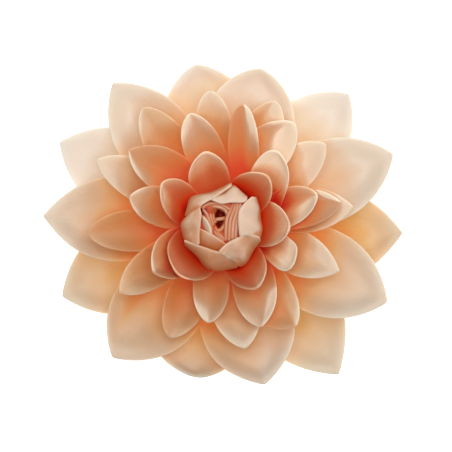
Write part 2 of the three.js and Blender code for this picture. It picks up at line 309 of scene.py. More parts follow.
class Effects:
    """Shader node groups that the finishes share.

    Veins spread apart towards the tip by vein_spread and waver vein_waves times on their way.
    """

    vein_spread: float = 0.35
    vein_waves: float = 1.6
    midrib_sharpness: float = 420.0

    @staticmethod
    def _group(name: str, inputs: dict[str, float], outputs: Iterable[str]) -> tuple[bpy.types.NodeTree, Graph]:
        """Starts a shader group with float sockets.

        Args:
            name: The group's name.
            inputs: Names and defaults of its inputs.
            outputs: Names of its outputs.

        Returns:
            The group and a graph on it.
        """
        tree = bpy.data.node_groups.new(name, "ShaderNodeTree")
        for label, default in inputs.items():
            socket = tree.interface.new_socket(name=label, in_out="INPUT", socket_type="NodeSocketFloat")
            socket.default_value = default
        for label in outputs:
            tree.interface.new_socket(name=label, in_out="OUTPUT", socket_type="NodeSocketFloat")
        return tree, Graph(tree)

    @staticmethod
    def veins() -> bpy.types.NodeTree:
        """Fine veins that run along a petal, and a midrib.

        Returns:
            A group with a Height for bump and a Tint mask.
        """
        if "Petal veins" in bpy.data.node_groups:
            return bpy.data.node_groups["Petal veins"]
        inputs = {"Along": 0, "Across": 0, "Count": 14, "Rib": 0.5}
        tree, graph = Effects._group("Petal veins", inputs, ["Height", "Tint"])
        inside = graph.node("NodeGroupInput")
        along, across, count, rib = [graph.value(output) for output in inside.outputs[:4]]
        spread = across * (1.0 - along * Effects.vein_spread)
        place = graph.combine(spread * count, along * Effects.vein_waves, 0.0)
        strands = graph.noise(place, 1.0, 3.0)
        midrib = graph.math("EXPONENT", across * across * -Effects.midrib_sharpness)
        fade = graph.smooth(along, 0.02, 0.3) * (1.0 - graph.smooth(along, 0.8, 1.0))
        height = strands * 0.5 + midrib * rib * fade
        outside = graph.node("NodeGroupOutput")
        graph.feed(outside.inputs["Height"], height)
        graph.feed(outside.inputs["Tint"], strands)
        return tree

    @staticmethod
    def mottle() -> bpy.types.NodeTree:
        """Soft blotches and fine tissue grain.

        Returns:
            A group with Blotch and Grain, both about 0 to 1.
        """
        if "Tissue mottle" in bpy.data.node_groups:
            return bpy.data.node_groups["Tissue mottle"]
        tree, graph = Effects._group("Tissue mottle", {"Blotches": 110, "Grains": 2600}, ["Blotch", "Grain"])
        inside = graph.node("NodeGroupInput")
        place = graph.node("ShaderNodeTexCoord").outputs["Object"]
        outside = graph.node("NodeGroupOutput")
        for output, label, detail in ((inside.outputs[0], "Blotch", 4.0), (inside.outputs[1], "Grain", 2.0)):
            scaled = graph.vector("SCALE", place, scale=graph.value(output))
            graph.feed(outside.inputs[label], graph.noise(scaled, 1.0, detail))
        return tree


@dataclass(frozen=True)
class Pattern:
    """A place on a petal or bract, and what the shared effects give there."""

    along: Value
    across: Value
    height: Value
    tint: Value
    blotch: Value
    grain: Value


@dataclass
class Surface(Graph):
    """A material in the making: a graph on its tree, with what the finishes share."""

    material: bpy.types.Material
    shader: bpy.types.Node

    def fill(self, sources: dict[str, object]) -> None:
        """Feeds inputs of the Principled shader, by their names."""
        for label, source in sources.items():
            self.feed(self.shader.inputs[label], source)

    def pattern(self, veins: float, rib: float = 0.5) -> Pattern:
        """Reads the UV map and places the shared effects.

        Args:
            veins: How many veins run side by side.
            rib: How high the midrib stands.

        Returns:
            The place, the veins' height and tint, the blotches and the grain.
        """
        along, lateral, _ = self.separate(self.node("ShaderNodeUVMap", uv_map="UVMap").outputs[0])
        across = lateral * 2.0 - 1.0
        lines = self.node("ShaderNodeGroup", node_tree=Effects.veins())
        for label, source in (("Along", along), ("Across", across), ("Count", veins), ("Rib", rib)):
            self.feed(lines.inputs[label], source)
        mottle = self.node("ShaderNodeGroup", node_tree=Effects.mottle())
        outputs = (lines.outputs["Height"], lines.outputs["Tint"], mottle.outputs["Blotch"], mottle.outputs["Grain"])
        return Pattern(along, across, *[self.value(output) for output in outputs])

    def relief(self, height: Value, strength: float, depth: float) -> None:
        """Raises the surface by a bump.

        Args:
            height: The relief, about 0 to 1.
            strength: The bump's strength.
            depth: The depth of the relief in metres.
        """
        bump = self.node("ShaderNodeBump")
        for label, source in (("Strength", strength), ("Distance", depth), ("Height", height)):
            self.feed(bump.inputs[label], source)
        self.fill({"Normal": bump.outputs[0]})

    def flesh(self, weight: float, colours: Triple, reach: float) -> None:
        """Lets light spread inside the tissue.

        Args:
            weight: How much of the light does.
            colours: How far red, green and blue go, as shares of the reach.
            reach: How far light goes in metres.
        """
        self.fill({"Subsurface Weight": weight, "Subsurface Radius": colours, "Subsurface Scale": reach})


@dataclass(frozen=True)
class Finish:
    """A material with its own name and roughness."""

    name: str
    roughness: float = 0.5

    def start(self) -> Surface:
        """A new node material with its Principled shader.

        Returns:
            The surface to build it on.
        """
        material = bpy.data.materials.new(self.name)
        material.use_nodes = True
        surface = Surface(material.node_tree, material, material.node_tree.nodes["Principled BSDF"])
        surface.fill({"Roughness": self.roughness})
        return surface


@dataclass(frozen=True)
class PetalFinish(Finish):
    """Waxy petal tissue with painted shade: pale where it is open to the light, orange to red in the depth of the
    flower, where shade falls.

    The stops are sRGB colours by how open a place is to the light, which blotches and veins shift a little, so they
    paint the shade. Tips and rims are paler. The rims' paleness, where they are open, is partly a pale margin and
    partly a painted highlight. glow is painted light: an emission for the light that comes through the petals above
    a place in shade. A place that takes more than its share of the light is dimmed, which is painted shade.
    """

    stops: tuple[tuple[float, Colour], ...] = ()
    rim_colour: Colour = (250, 232, 214)
    rim_share: float = 0.15
    rim_start: float = 0.86
    tip_colour: Colour = (240, 220, 202)
    tip_share: float = 0.1
    tip_start: float = 0.72
    blotch_share: float = 0.16
    vein_share: float = 0.07
    vein_count: float = 16
    midrib: float = 0.1
    vein_depth: float = 0.12 * MM
    gloss_change: float = 0.2
    translucence: float = 0.5
    light_reach: float = 1.2 * MM
    glow: float = 0.36

    def make(self) -> bpy.types.Material:
        """Builds the material.

        Returns:
            The petal material. It reads the attributes UVMap, open and shade.
        """
        look = self.start()
        seen = look.pattern(self.vein_count, self.midrib)
        openness, shade = look.attribute(OPEN), look.attribute(SHADE)
        # The ramp by openness paints the shade: deeper orange and red where a place is closed in.
        read = openness + (seen.blotch - 0.5) * self.blotch_share + (seen.tint - 0.5) * self.vein_share
        tissue = look.ramp(read, [(at, linear(*colour)) for at, colour in self.stops])
        tip = look.smooth(seen.along, self.tip_start, 1.0) * self.tip_share * openness
        tissue = look.mix(tip, tissue, linear(*self.tip_colour))
        # Pale rims where they are open: partly a pale margin, partly a painted highlight.
        edge = look.smooth(look.math("ABSOLUTE", seen.across), self.rim_start, 0.99)
        rim = look.math("MAXIMUM", edge, look.smooth(seen.along, 0.985, 0.998)) * self.rim_share * openness
        tissue = look.mix(rim, tissue, linear(*self.rim_colour))
        black = linear(0, 0, 0)
        # Painted shade: a place that takes more than its share of the light is dimmed towards black.
        tissue = look.mix(look.math("MAXIMUM", shade * -1.0, 0.0), tissue, black)
        # Painted glow: an emission in the tissue's colour where the place lies in shade, for light that comes through
        # the petals.
        painted_glow = look.math("MAXIMUM", shade, 0.0) * self.glow
        look.fill({
            "Base Color": tissue,
            "Emission Color": look.mix(painted_glow, black, tissue),
            "Emission Strength": 1,
            "Roughness": look.math("ADD", (seen.blotch - 0.5) * self.gloss_change, self.roughness),
            "Specular IOR Level": 0.35,
        })
        look.relief(seen.height + seen.blotch * 0.8 + seen.grain * 0.12, 0.6, self.vein_depth)
        look.flesh(self.translucence, (1.0, 0.92, 0.85), self.light_reach)
        return look.material


@dataclass(frozen=True)
class LeafFinish(Finish):
    """Matte green tissue of the calyx, paler at the rims of the bracts."""

    dark: Colour = (84, 104, 48)
    light: Colour = (136, 152, 84)
    edge: Colour = (182, 178, 124)
    edge_share: float = 0.7
    vein_count: float = 9
    vein_depth: float = 0.2 * MM

    def make(self) -> bpy.types.Material:
        """Builds the material.

        Returns:
            The green material. It reads the attribute UVMap.
        """
        look = self.start()
        seen = look.pattern(self.vein_count)
        share = (seen.blotch + seen.tint) * 0.5
        tissue = look.mix(look.smooth(share, 0.35, 0.65), linear(*self.dark), linear(*self.light))
        edge = look.smooth(look.math("ABSOLUTE", seen.across), 0.82, 0.98)
        look.fill({"Base Color": look.mix(edge * self.edge_share, tissue, linear(*self.edge))})
        look.relief(seen.height + seen.blotch, 0.7, self.vein_depth)
        look.flesh(0.15, (0.5, 1.0, 0.3), 1.5 * MM)
        return look.material


@dataclass(frozen=True)
class CutFinish(Finish):
    """The cut end of the stem: pale wet pith in a ring of green bark."""

    pith: Colour = (206, 206, 158)
    ring: Colour = (150, 160, 92)
    bark: Colour = (92, 112, 54)
    radius: float = 6.5 * MM
    cell_scale: float = 2200
    cell_depth: float = 0.15 * MM

    def make(self) -> bpy.types.Material:
        """Builds the material.

        Returns:
            The cut end's material. It reads Object coordinates.
        """
        look = self.start()
        place = look.node("ShaderNodeTexCoord").outputs["Object"]
        x, y, _ = look.separate(place)
        share = look.math("SQRT", x * x + y * y) / self.radius
        cells = look.node("ShaderNodeTexVoronoi")
        look.feed(cells.inputs["Vector"], place)
        look.feed(cells.inputs["Scale"], self.cell_scale)
        fibre = look.value(cells.outputs["Distance"])
        wobble = share + (fibre - 0.5) * 0.06
        stops = [(0.0, self.pith), (0.62, self.pith), (0.72, self.ring), (0.8, self.pith), (0.93, self.bark)]
        look.fill({"Base Color": look.ramp(wobble, [(at, linear(*colour)) for at, colour in stops])})
        look.relief(fibre, 0.5, self.cell_depth)
        return look.material


# Petals


@dataclass(frozen=True)
class PetalShape:
    """How a petal is formed and coloured, in millimetres and degrees.

    The midline leaves the receptacle at root_radius and root_height with root_slope and ends at the petal's reach
    and tip_height with tip_slope. The half width starts at root_share of the full one, is full at widest and falls
    to the tip as (1 - x^tip_power)^tip_round; fullness scales it. The section is an arc of half angle root_cup to
    tip_cup, deepened by a bowl that starts margin inside the edge. skew widens the left side, sway turns the root
    round the axis, lift raises the tip and curl steepens it. ruffle is the height of slow waves. fold is where the
    bowl's crease lies, from the right edge, -1, to the left edge, 1, and crease is how round it is.

    Colours deepen by warmth all over, partly the petal's own tone and partly painted shade and light; by valley in
    the middle of the crease, a painted shade; and by flush over the lower half, partly a deeper root and partly
    painted shade. tilt makes the left side of the crease paler than the right one: painted light on one side and
    painted shade on the other.
    """

    root_radius: float = 6
    root_height: float = 7
    root_slope: float = 4
    tip_height: float = 11
    tip_slope: float = 14
    root_share: float = 0.3
    widest: float = 0.52
    tip_power: float = 2.6
    tip_round: float = 0.94
    root_cup: float = 0.55
    tip_cup: float = 0.24
    bowl: float = 1.3
    margin: float = 3.6
    bowl_width: float = 7
    skew: float = 0
    sway: float = 0
    lift: float = 0
    curl: float = 0
    ruffle: float = 0.5
    crease: float = 0.25
    warmth: float = 0
    tilt: float = 0
    fold: float = 0
    valley: float = 0
    flush: float = 0
    fullness: float = 1
    thickness: float = 0.95
    rows: int = 34
    columns: int = 19


class Layer(Enum):
    """The whorls of petals, from the lowest to the one round the bud, and the bracts behind them."""

    GROUND = PetalShape(valley=0.06)
    BROAD = PetalShape(root_height=9.5, root_slope=20, tip_height=19, tip_slope=10, root_cup=0.7, tip_cup=0.28,
                       bowl=1.5, margin=3.4, valley=0.06)
    OUTER = PetalShape(root_height=12, root_slope=36, tip_height=26, root_share=0.34, widest=0.55, tip_round=0.86,
                       root_cup=0.75, tip_cup=0.35, fullness=0.97, bowl=1, margin=2.4, bowl_width=5, crease=0.4,
                       ruffle=0.35, rows=30, columns=15)
    MIDDLE = PetalShape(root_height=14, root_slope=46, tip_height=31, tip_slope=20, root_share=0.36, widest=0.58,
                        tip_power=2.8, tip_round=0.8, root_cup=0.8, tip_cup=0.45, fullness=0.95, bowl=0.9, margin=2,
                        bowl_width=5, crease=0.4, ruffle=0.3, rows=30, columns=15)
    INNER = PetalShape(root_height=15, root_slope=58, tip_height=34, tip_slope=30, root_share=0.4, widest=0.6,
                       tip_power=2.8, tip_round=0.66, root_cup=0.85, tip_cup=0.6, fullness=0.93, bowl=0.8,
                       margin=1.6, bowl_width=4, crease=0.4, ruffle=0.25, rows=30, columns=15)
    COLLAR = PetalShape(root_radius=7, root_height=15, root_slope=70, tip_height=36, tip_slope=40, root_share=0.45,
                        widest=0.6, tip_power=2.8, tip_round=0.6, root_cup=0.85, tip_cup=0.65, fullness=0.92,
                        bowl=0.6, margin=1.4, bowl_width=4, crease=0.4, ruffle=0.2, rows=30, columns=15)
    BRACT = PetalShape(root_radius=5, root_height=3.6, root_slope=0, tip_height=1.6, tip_slope=-18, root_share=0.8,
                       widest=0.35, tip_power=2.2, tip_round=0.8, root_cup=0.35, tip_cup=0.25, bowl=0, margin=2,
                       bowl_width=3, ruffle=0.3, thickness=1, rows=20, columns=9)


@dataclass(frozen=True)
class Petal:
    """One petal: its layer, the azimuth of its tip, its reach, its half width, and what sets it apart."""

    layer: Layer
    azimuth: float
    reach: float
    half_width: float
    changes: dict[str, float] = field(default_factory=dict)

    @property
    def shape(self) -> PetalShape:
        """The layer's shape with this petal's changes."""
        return replace(self.layer.value, **self.changes)


# Azimuth of the tip, reach, half width, and what sets each petal apart from its layer, among it painted shade and
# light by warmth, flush, valley and tilt.
PETAL_ROWS: dict[Layer, tuple[tuple, ...]] = {
    Layer.GROUND: (
        (99, 55.2, 15.2, dict(skew=-0.06, lift=3, curl=12, tip_power=3, tip_round=0.7, warmth=-0.04)),
        (153, 62, 15, dict(skew=-0.05, tip_round=0.88, warmth=-0.16)),
        (204, 59.5, 15.3, dict(tip_round=0.88, warmth=0.13, flush=-0.26)),
        (260.5, 52.4, 16, dict(skew=-0.15, lift=3, curl=18, tip_power=3.8, tip_round=0.56, warmth=0.06)),
        (308, 64.5, 15.3, dict(skew=0.1, warmth=0.1, flush=-0.15)),
        (357.5, 61.5, 16, dict(skew=-0.12, warmth=0.18)),
        (46, 62, 15, dict(skew=-0.05, tip_round=0.82, warmth=-0.12, flush=-0.04)),
    ),
    Layer.BROAD: (
        (127.5, 60.2, 13.8, dict(tip_round=0.86, warmth=-0.1, tilt=0.08, flush=-0.05)),
        (177, 60.2, 14.8, dict(warmth=0.03)),
        (230.5, 57.8, 15.7, dict(skew=0.065, tip_round=0.82, lift=-1, warmth=0.1, fold=-0.5, valley=0.2,
                                 flush=-0.04)),
        (285, 55.3, 16.4, dict(skew=-0.03, lift=2, curl=12, tip_power=3, tip_round=0.87, warmth=0.02, tilt=0.1,
                               flush=0.05)),
        (335, 61.3, 15.3, dict(tip_round=0.84, flush=0.08)),
        (22.5, 62.3, 14.6, dict(tip_round=0.84, warmth=-0.08, flush=-0.22)),
        (76, 54.2, 15.8, dict(skew=-0.06, lift=1, curl=8, tip_power=2.8, tip_round=0.68, tip_cup=0.18, warmth=-0.14,
                              tilt=-0.04)),
    ),
    Layer.OUTER: (
        (95, 44.8, 7.2, dict(tip_round=0.52, flush=-0.2)),
        (124, 47, 8.2, dict(skew=0.02, tip_round=0.62, warmth=0.06, tilt=0.08, fold=0.3, flush=-0.26)),
        (152.5, 46.8, 7.6, dict(skew=-0.05, tip_round=0.7, warmth=-0.04)),
        (183.5, 44.8, 7.8, dict(tip_round=0.62, warmth=0.23, tilt=0.06, flush=-0.06)),
        (213.5, 40.8, 7.5, dict(skew=-0.1, sway=-3, tip_round=0.72, warmth=0.1)),
        (245, 41.4, 7.9, dict(tip_round=0.62, warmth=0.18, tilt=0.08)),
        (280.5, 41.8, 9.4, dict(skew=-0.05, tip_round=0.7, warmth=-0.04, flush=0.06)),
        (306, 41.8, 9.8, dict(skew=-0.2, sway=4, tip_round=0.62, warmth=0.11, tilt=0.22, fold=0.2, flush=0.3)),
        (338.5, 42, 8.2, dict(sway=6, warmth=-0.06, tilt=0.08, flush=0.25)),
        (8, 44, 8.5, dict(skew=0.05, sway=9, lift=1, warmth=-0.08, tilt=0.04, flush=0.08)),
        (38, 43.8, 8.4, dict(tip_round=0.7, warmth=-0.17, tilt=-0.06, flush=0.04)),
        (66.5, 45, 8.6, dict(tip_round=0.62, warmth=-0.06, tilt=-0.24, fold=0.2)),
    ),
    Layer.MIDDLE: (
        (55, 41.5, 9.2, dict(skew=0.14, tip_round=0.66, sway=14, lift=-1.5, root_height=12.5, warmth=-0.14,
                             tilt=-0.24, fold=0.25, flush=0.14)),
        (80, 40.4, 5.8, dict(skew=-0.14, sway=-26, lift=3.5, root_share=0.62, tip_round=0.56, warmth=0.12,
                             tilt=-0.28, fold=-0.25, flush=0.08)),
        (106, 38.4, 7.4, dict(skew=-0.04, sway=-12, lift=-1, tip_round=0.62, root_height=13, warmth=0.01, tilt=0.06)),
        (141, 39.4, 8.3, dict(skew=-0.15, sway=-14, lift=1, root_height=15, warmth=0.11, tilt=0.16, fold=0.45)),
        (163, 31.9, 7.5, dict(tip_round=0.7, warmth=0.06, flush=-0.12)),
        (262, 32.6, 6.8, dict(sway=-9, tip_round=0.62, warmth=0.03, tilt=-0.1, flush=-0.1)),
        (291.5, 36, 8.2, dict(skew=0.1, sway=24, tip_round=0.66, warmth=-0.03, tilt=0.2, fold=0.45, flush=0.46)),
        (10.8, 40, 7.5, dict(sway=8, warmth=0.03, tilt=0.26, fold=0.5)),
    ),
    Layer.INNER: (
        (17.5, 33, 7.5, dict(sway=-16, lift=-1.5, tip_round=0.6, root_slope=54, warmth=-0.02, tilt=-0.24, fold=-0.1)),
        (52.5, 30.4, 8, dict(skew=-0.26, sway=-36, widest=0.52, root_share=0.75, tip_power=3.2, tip_round=0.42,
                             warmth=-0.1, flush=0.36)),
        (215, 27.4, 9.4, dict(skew=-0.1, warmth=0.1, tilt=-0.14, flush=-0.1)),
        (330, 27, 6, dict(skew=0.3, sway=26, lift=-3, root_share=0.4, widest=0.75, tip_power=5, tip_round=0.34,
                          root_slope=54, warmth=-0.08, tilt=0.1, fold=-0.4, flush=0.3)),
    ),
    Layer.COLLAR: (
        (103, 24.6, 8.2, dict(skew=0.1, tip_round=0.56, tilt=0.05, flush=-0.3)),
        (145, 24, 7.3, dict(sway=28, tip_round=0.54, warmth=0.04, tilt=0.18, fold=0.3)),
        (229, 21.6, 10.8, dict(skew=-0.1, tip_power=3.4, tip_round=0.42, warmth=0.15, flush=-0.24)),
        (299, 23.8, 8.4, dict(skew=0.04, tip_round=0.54, warmth=0.12, tilt=0.14)),
        (358.5, 22.2, 9.2, dict(skew=0.1, tip_round=0.44, warmth=-0.03, flush=0.04)),
        (47, 21.9, 8.4, dict(sway=6, lift=2.5, tip_round=0.5, warmth=0.1)),
    ),
}
PETALS: dict[Layer, list[Petal]] = {
    layer: [Petal(layer, *row) for row in rows] for layer, rows in PETAL_ROWS.items()
}


def direction(azimuth: float, slope: float = 0.0) -> np.ndarray:
    """A unit vector.

    Args:
        azimuth: Degrees, anticlockwise from +X.
        slope: Degrees above the horizontal.

    Returns:
        The vector.
    """
    turn, rise = math.radians(azimuth), math.radians(slope)
    return np.array([math.cos(rise) * math.cos(turn), math.cos(rise) * math.sin(turn), math.sin(rise)])


@dataclass
class PetalTree:
    """The Geometry Nodes tree that forms a petal's middle surface from a flat grid.

    midline_arm is how far the midline's Bezier arms reach, as a share of its span, and tip_crowding crowds the
    rows towards the tip. The other fields say where waves, paleness, valley, flush and tilt start and end, along
    the petal from 0 at the root to 1 at the tip, or across it from -1 at the right edge to 1 at the left one. valley
    and tilt are painted shade and light, and flush is partly painted shade.
    """

    midline_arm: float = 0.38
    tip_crowding: float = 1.5
    wave_scale: float = 55
    wave_rise: Pair = (0.1, 0.5)
    weld: float = 0.01 * MM
    tip_rise: Pair = (0.05, 1)
    edge_share: float = 0.05
    valley_rise: Pair = (0.35, 0.6)
    valley_fall: Pair = (0.65, 0.9)
    valley_sharpness: float = 30
    flush_fall: Pair = (0.3, 0.75)
    tilt_width: float = 0.3
    points: tuple[str, ...] = ("Root", "Root Arm", "Tip Arm", "Tip")
    numbers: tuple[str, ...] = (
        "Root Share", "Widest", "Tip Power", "Tip Round", "Skew", "Root Cup", "Tip Cup", "Crease", "Warmth", "Tilt",
        "Fold", "Valley", "Flush",
    )
    lengths: tuple[str, ...] = ("Bowl", "Margin", "Bowl Width", "Ruffle")
    counts: tuple[str, ...] = ("Rows", "Columns")
    tree: bpy.types.NodeTree = field(init=False)
    sockets: dict[str, str] = field(init=False, default_factory=dict)
    graph: Graph = field(init=False)
    given: dict[str, Value] = field(init=False)

    def __post_init__(self) -> None:
        """Builds the tree."""
        self.tree = bpy.data.node_groups.new("Petal", "GeometryNodeTree")
        face = self.tree.interface
        face.new_socket(name="Geometry", in_out="OUTPUT", socket_type="NodeSocketGeometry")
        kinds = {
            "Vector": self.points, "Float": ("Half Width", *self.numbers, *self.lengths, "Seed"),
            "Int": self.counts, "Material": ("Material",),
        }
        for kind, labels in kinds.items():
            for label in labels:
                self.sockets[label] = face.new_socket(name=label, socket_type=f"NodeSocket{kind}").identifier
        self.graph = Graph(self.tree)
        inside = self.graph.node("NodeGroupInput")
        self.given = {output.name: self.graph.value(output) for output in inside.outputs if output.name}
        self._wire()

    def _wire(self) -> None:
        """Adds the nodes that form the surface, give it its attributes and dress it."""
        graph, given = self.graph, self.given
        grid = graph.node("GeometryNodeMeshGrid")
        graph.feed(grid.inputs["Vertices X"], given["Rows"])
        graph.feed(grid.inputs["Vertices Y"], given["Columns"])
        x, y, _ = graph.separate(graph.node("GeometryNodeInputPosition").outputs[0])
        along = 1.0 - graph.math("POWER", graph.math("MAXIMUM", 0.5 - x, 0.0), self.tip_crowding)
        across = y * 2.0
        uv = graph.combine(along, across * 0.5 + 0.5, 0.0)
        # The petal's own paleness together with its painted light and shade, added to the openness.
        pale = self._tone_and_painted_light(along, across)
        keep = "GeometryNodeStoreNamedAttribute"
        steps = (
            (keep, {"data_type": "FLOAT2", "domain": "CORNER"}, {"Name": "UVMap", "Value": uv}),
            (keep, {"data_type": "FLOAT", "domain": "POINT"}, {"Name": OPEN, "Value": pale}),
            ("GeometryNodeSetPosition", {}, {"Position": self._place(along, across)}),
            ("GeometryNodeMergeByDistance", {}, {"Distance": self.weld}),
            ("GeometryNodeSetShadeSmooth", {}, {}),
            ("GeometryNodeRealizeInstances", {}, {}),
            ("GeometryNodeSetMaterial", {}, {"Material": given["Material"]}),
        )
        flow = grid.outputs["Mesh"]
        for kind, settings, sources in steps:
            made = graph.node(kind, **settings)
            for label, source in {"Geometry": flow, **sources}.items():
                graph.feed(made.inputs[label], source)
            flow = made.outputs[0]
        graph.feed(graph.node("NodeGroupOutput").inputs[0], flow)

    def _place(self, along: Value, across: Value) -> Value:
        """Where a point of the surface lies: on the cupped section over the midline, with slow waves.

        Args:
            along: The place from root to tip.
            across: The place from the right edge, -1, to the left edge, 1.

        Returns:
            The position.
        """
        graph = self.graph
        middle, forward = self._midline(along)
        fx, fy, _ = graph.separate(forward)
        left = graph.vector("NORMALIZE", graph.combine(fy * -1.0, fx, 0.0))
        up = graph.vector("CROSS_PRODUCT", forward, left)
        sideways, rise = self._section(along, across)
        place = graph.vector("ADD", middle, graph.vector("SCALE", left, scale=sideways))
        wave = graph.noise(graph.vector("SCALE", place, scale=self.wave_scale), 1.0, 1.0, noise_dimensions="4D")
        graph.feed(wave.socket.node.inputs["W"], self.given["Seed"])
        lift = rise + (wave - 0.5) * 2.0 * self.given["Ruffle"] * graph.smooth(along, *self.wave_rise)
        return graph.vector("ADD", place, graph.vector("SCALE", up, scale=lift))

    def _tone_and_painted_light(self, along: Value, across: Value) -> Value:
        """What the petal adds to its openness: its own paleness towards the tip and the edges, painted light on its
        paler side and shade on the other, and deeper colour, partly its own tone and partly painted shade.

        Args:
            along: The place from root to tip.
            across: The place from the right edge to the left one.

        Returns:
            The share that is added to how open a place is.
        """
        graph, given = self.graph, self.given
        tipward = graph.smooth(along, *self.tip_rise) * (1.0 - OPEN_SHARE)
        edge = across * across * self.edge_share
        aside = across - given["Fold"]
        line = graph.math("EXPONENT", aside * aside * -self.valley_sharpness)
        middle = graph.smooth(along, *self.valley_rise) * (1.0 - graph.smooth(along, *self.valley_fall))
        lower = 1.0 - graph.smooth(along, *self.flush_fall)
        # Deeper colour: warmth all over and flush towards the root are partly own tone and partly painted shade;
        # valley is painted shade along the crease.
        depth = given["Warmth"] + line * middle * given["Valley"] + lower * given["Flush"]
        # tilt paints light on the left of the crease and shade on the right.
        side = graph.smooth(aside, -self.tilt_width, self.tilt_width) - 0.5
        return tipward + edge + given["Tilt"] * side - depth

    def _midline(self, along: Value) -> tuple[Value, Value]:
        """The midline's point and direction.

        Args:
            along: The place on the midline, from 0 at the root to 1 at the tip.

        Returns:
            The point and the unit tangent.
        """
        back = 1.0 - along
        points = [self.given[label] for label in self.points]
        steps = [self.graph.vector("SUBTRACT", end, start) for start, end in zip(points, points[1:])]
        weights = (back * back * back, 3.0 * along * back * back, 3.0 * along * along * back, along * along * along)
        slopes = (back * back, 2.0 * along * back, along * along)
        return self._sum(points, weights), self.graph.vector("NORMALIZE", self._sum(steps, slopes))

    def _sum(self, vectors: Sequence[Value], weights: Sequence[Value]) -> Value:
        """A weighted sum.

        Args:
            vectors: The vectors.
            weights: A weight for each of them.

        Returns:
            The sum.
        """
        total, *rest = [self.graph.vector("SCALE", each, scale=weight) for each, weight in zip(vectors, weights)]
        for share in rest:
            total = self.graph.vector("ADD", total, share)
        return total

    def _section(self, along: Value, across: Value) -> tuple[Value, Value]:
        """The cupped section.

        Args:
            along: The place from root to tip.
            across: The place from the right edge to the left one.

        Returns:
            How far to the left of the midline the point lies, and how far above it.
        """
        graph, given = self.graph, self.given
        widest = given["Widest"]
        swell = given["Root Share"] + (1.0 - given["Root Share"]) * graph.smooth(along, 0.0, widest)
        fall = graph.math("MAXIMUM", (along - widest) / (1.0 - widest), 0.0)
        taper = graph.math("MAXIMUM", 1.0 - fall ** given["Tip Power"], 0.0) ** given["Tip Round"]
        side = given["Half Width"] * swell * taper * (1.0 + given["Skew"] * graph.math("SIGN", across))
        cup = given["Root Cup"] + (given["Tip Cup"] - given["Root Cup"]) * along
        angle = across * cup
        sideways = side / cup * graph.math("SINE", angle)
        crease = given["Crease"]
        aside = across - given["Fold"] * (1.0 - across * across)
        blunt = graph.math("SQRT", aside * aside + crease * crease) - crease
        inside = side * (1.0 - blunt) - given["Margin"]
        bowl = graph.smooth(inside, 0.0, given["Bowl Width"]) * given["Bowl"]
        rise = side / cup * (1.0 - graph.math("COSINE", angle)) - bowl
        return sideways, rise

    def apply(self, petal: Petal, seed: float, material: bpy.types.Material) -> bpy.types.Mesh:
        """Forms one petal's middle surface.

        Args:
            petal: The petal.
            seed: Where its waves are read.
            material: Its material.

        Returns:
            A plain mesh.
        """
        shape = petal.shape
        root = shape.root_radius * direction(petal.azimuth + shape.sway)
        root[2] = shape.root_height
        tip = petal.reach * direction(petal.azimuth)
        tip[2] = shape.tip_height + shape.lift
        arm = self.midline_arm * float(np.linalg.norm(tip - root))
        root_arm = root + arm * direction(petal.azimuth + shape.sway, shape.root_slope)
        tip_arm = tip - arm * direction(petal.azimuth, shape.tip_slope + shape.curl)
        holder = placed("petal_form", bpy.data.meshes.new("petal_form"))
        modifier = holder.modifiers.new("petal", "NODES")
        modifier.node_group = self.tree
        settings = {
            label: [float(part) for part in place * MM]
            for label, place in zip(self.points, (root, root_arm, tip_arm, tip))
        }
        for labels, unit in ((self.numbers, 1.0), (self.lengths, MM), (self.counts, 1)):
            settings |= {label: getattr(shape, label.lower().replace(" ", "_")) * unit for label in labels}
        settings |= {"Half Width": petal.half_width * shape.fullness * MM, "Seed": seed, "Material": material}
        for label, setting in settings.items():
            modifier[self.sockets[label]] = setting
        mesh = plain_mesh(holder, "petal")
        bpy.data.objects.remove(holder)
        return mesh


# Meshes


def placed(name: str, data: bpy.types.ID) -> bpy.types.Object:
    """Puts a mesh, light or camera into the scene.

    Args:
        name: The new object's name.
        data: Its data.

    Returns:
        The object.
    """
    thing = bpy.data.objects.new(name, data)
    bpy.context.scene.collection.objects.link(thing)
    return thing


def plain_mesh(thing: bpy.types.Object, name: str) -> bpy.types.Mesh:
    """The object's evaluated geometry as a mesh of its own.

    Args:
        thing: An object with live modifiers.
        name: The new mesh's name.

    Returns:
        The mesh.
    """
    graph = bpy.context.evaluated_depsgraph_get()
    graph.update()
    mesh = bpy.data.meshes.new_from_object(thing.evaluated_get(graph), depsgraph=graph)
    mesh.name = name
    return mesh


def grid_mesh(name: str, points: Grid, material: bpy.types.Material) -> bpy.types.Mesh:
    """A mesh from rows of points, with a UV map over it.

    Args:
        name: The mesh's name.
        points: Points in metres, indexed by row, column and axis.
        material: Its material.

    Returns:
        The mesh.
    """
    rows, columns = points.shape[:2]
    faces = [
        (i * columns + j, (i + 1) * columns + j, (i + 1) * columns + j + 1, i * columns + j + 1)
        for i in range(rows - 1)
        for j in range(columns - 1)
    ]
    mesh = bpy.data.meshes.new(name)
    mesh.from_pydata(points.reshape(-1, 3).tolist(), [], faces)
    layer = mesh.uv_layers.new(name="UVMap")
    for loop in mesh.loops:
        row, column = divmod(loop.vertex_index, columns)
        layer.data[loop.index].uv = (row / (rows - 1), column / (columns - 1))
    mesh.materials.append(material)
    return mesh


def closed_mesh(mesh: bpy.types.Mesh) -> bpy.types.Mesh:
    """Closes the seam of a surface whose first and last rows of points are the same.

    Args:
        mesh: The surface.

    Returns:
        The same mesh.
    """
    made = bmesh.new()
    made.from_mesh(mesh)
    bmesh.ops.remove_doubles(made, verts=made.verts, dist=0.001 * MM)
    made.to_mesh(mesh)
    made.free()
    return mesh


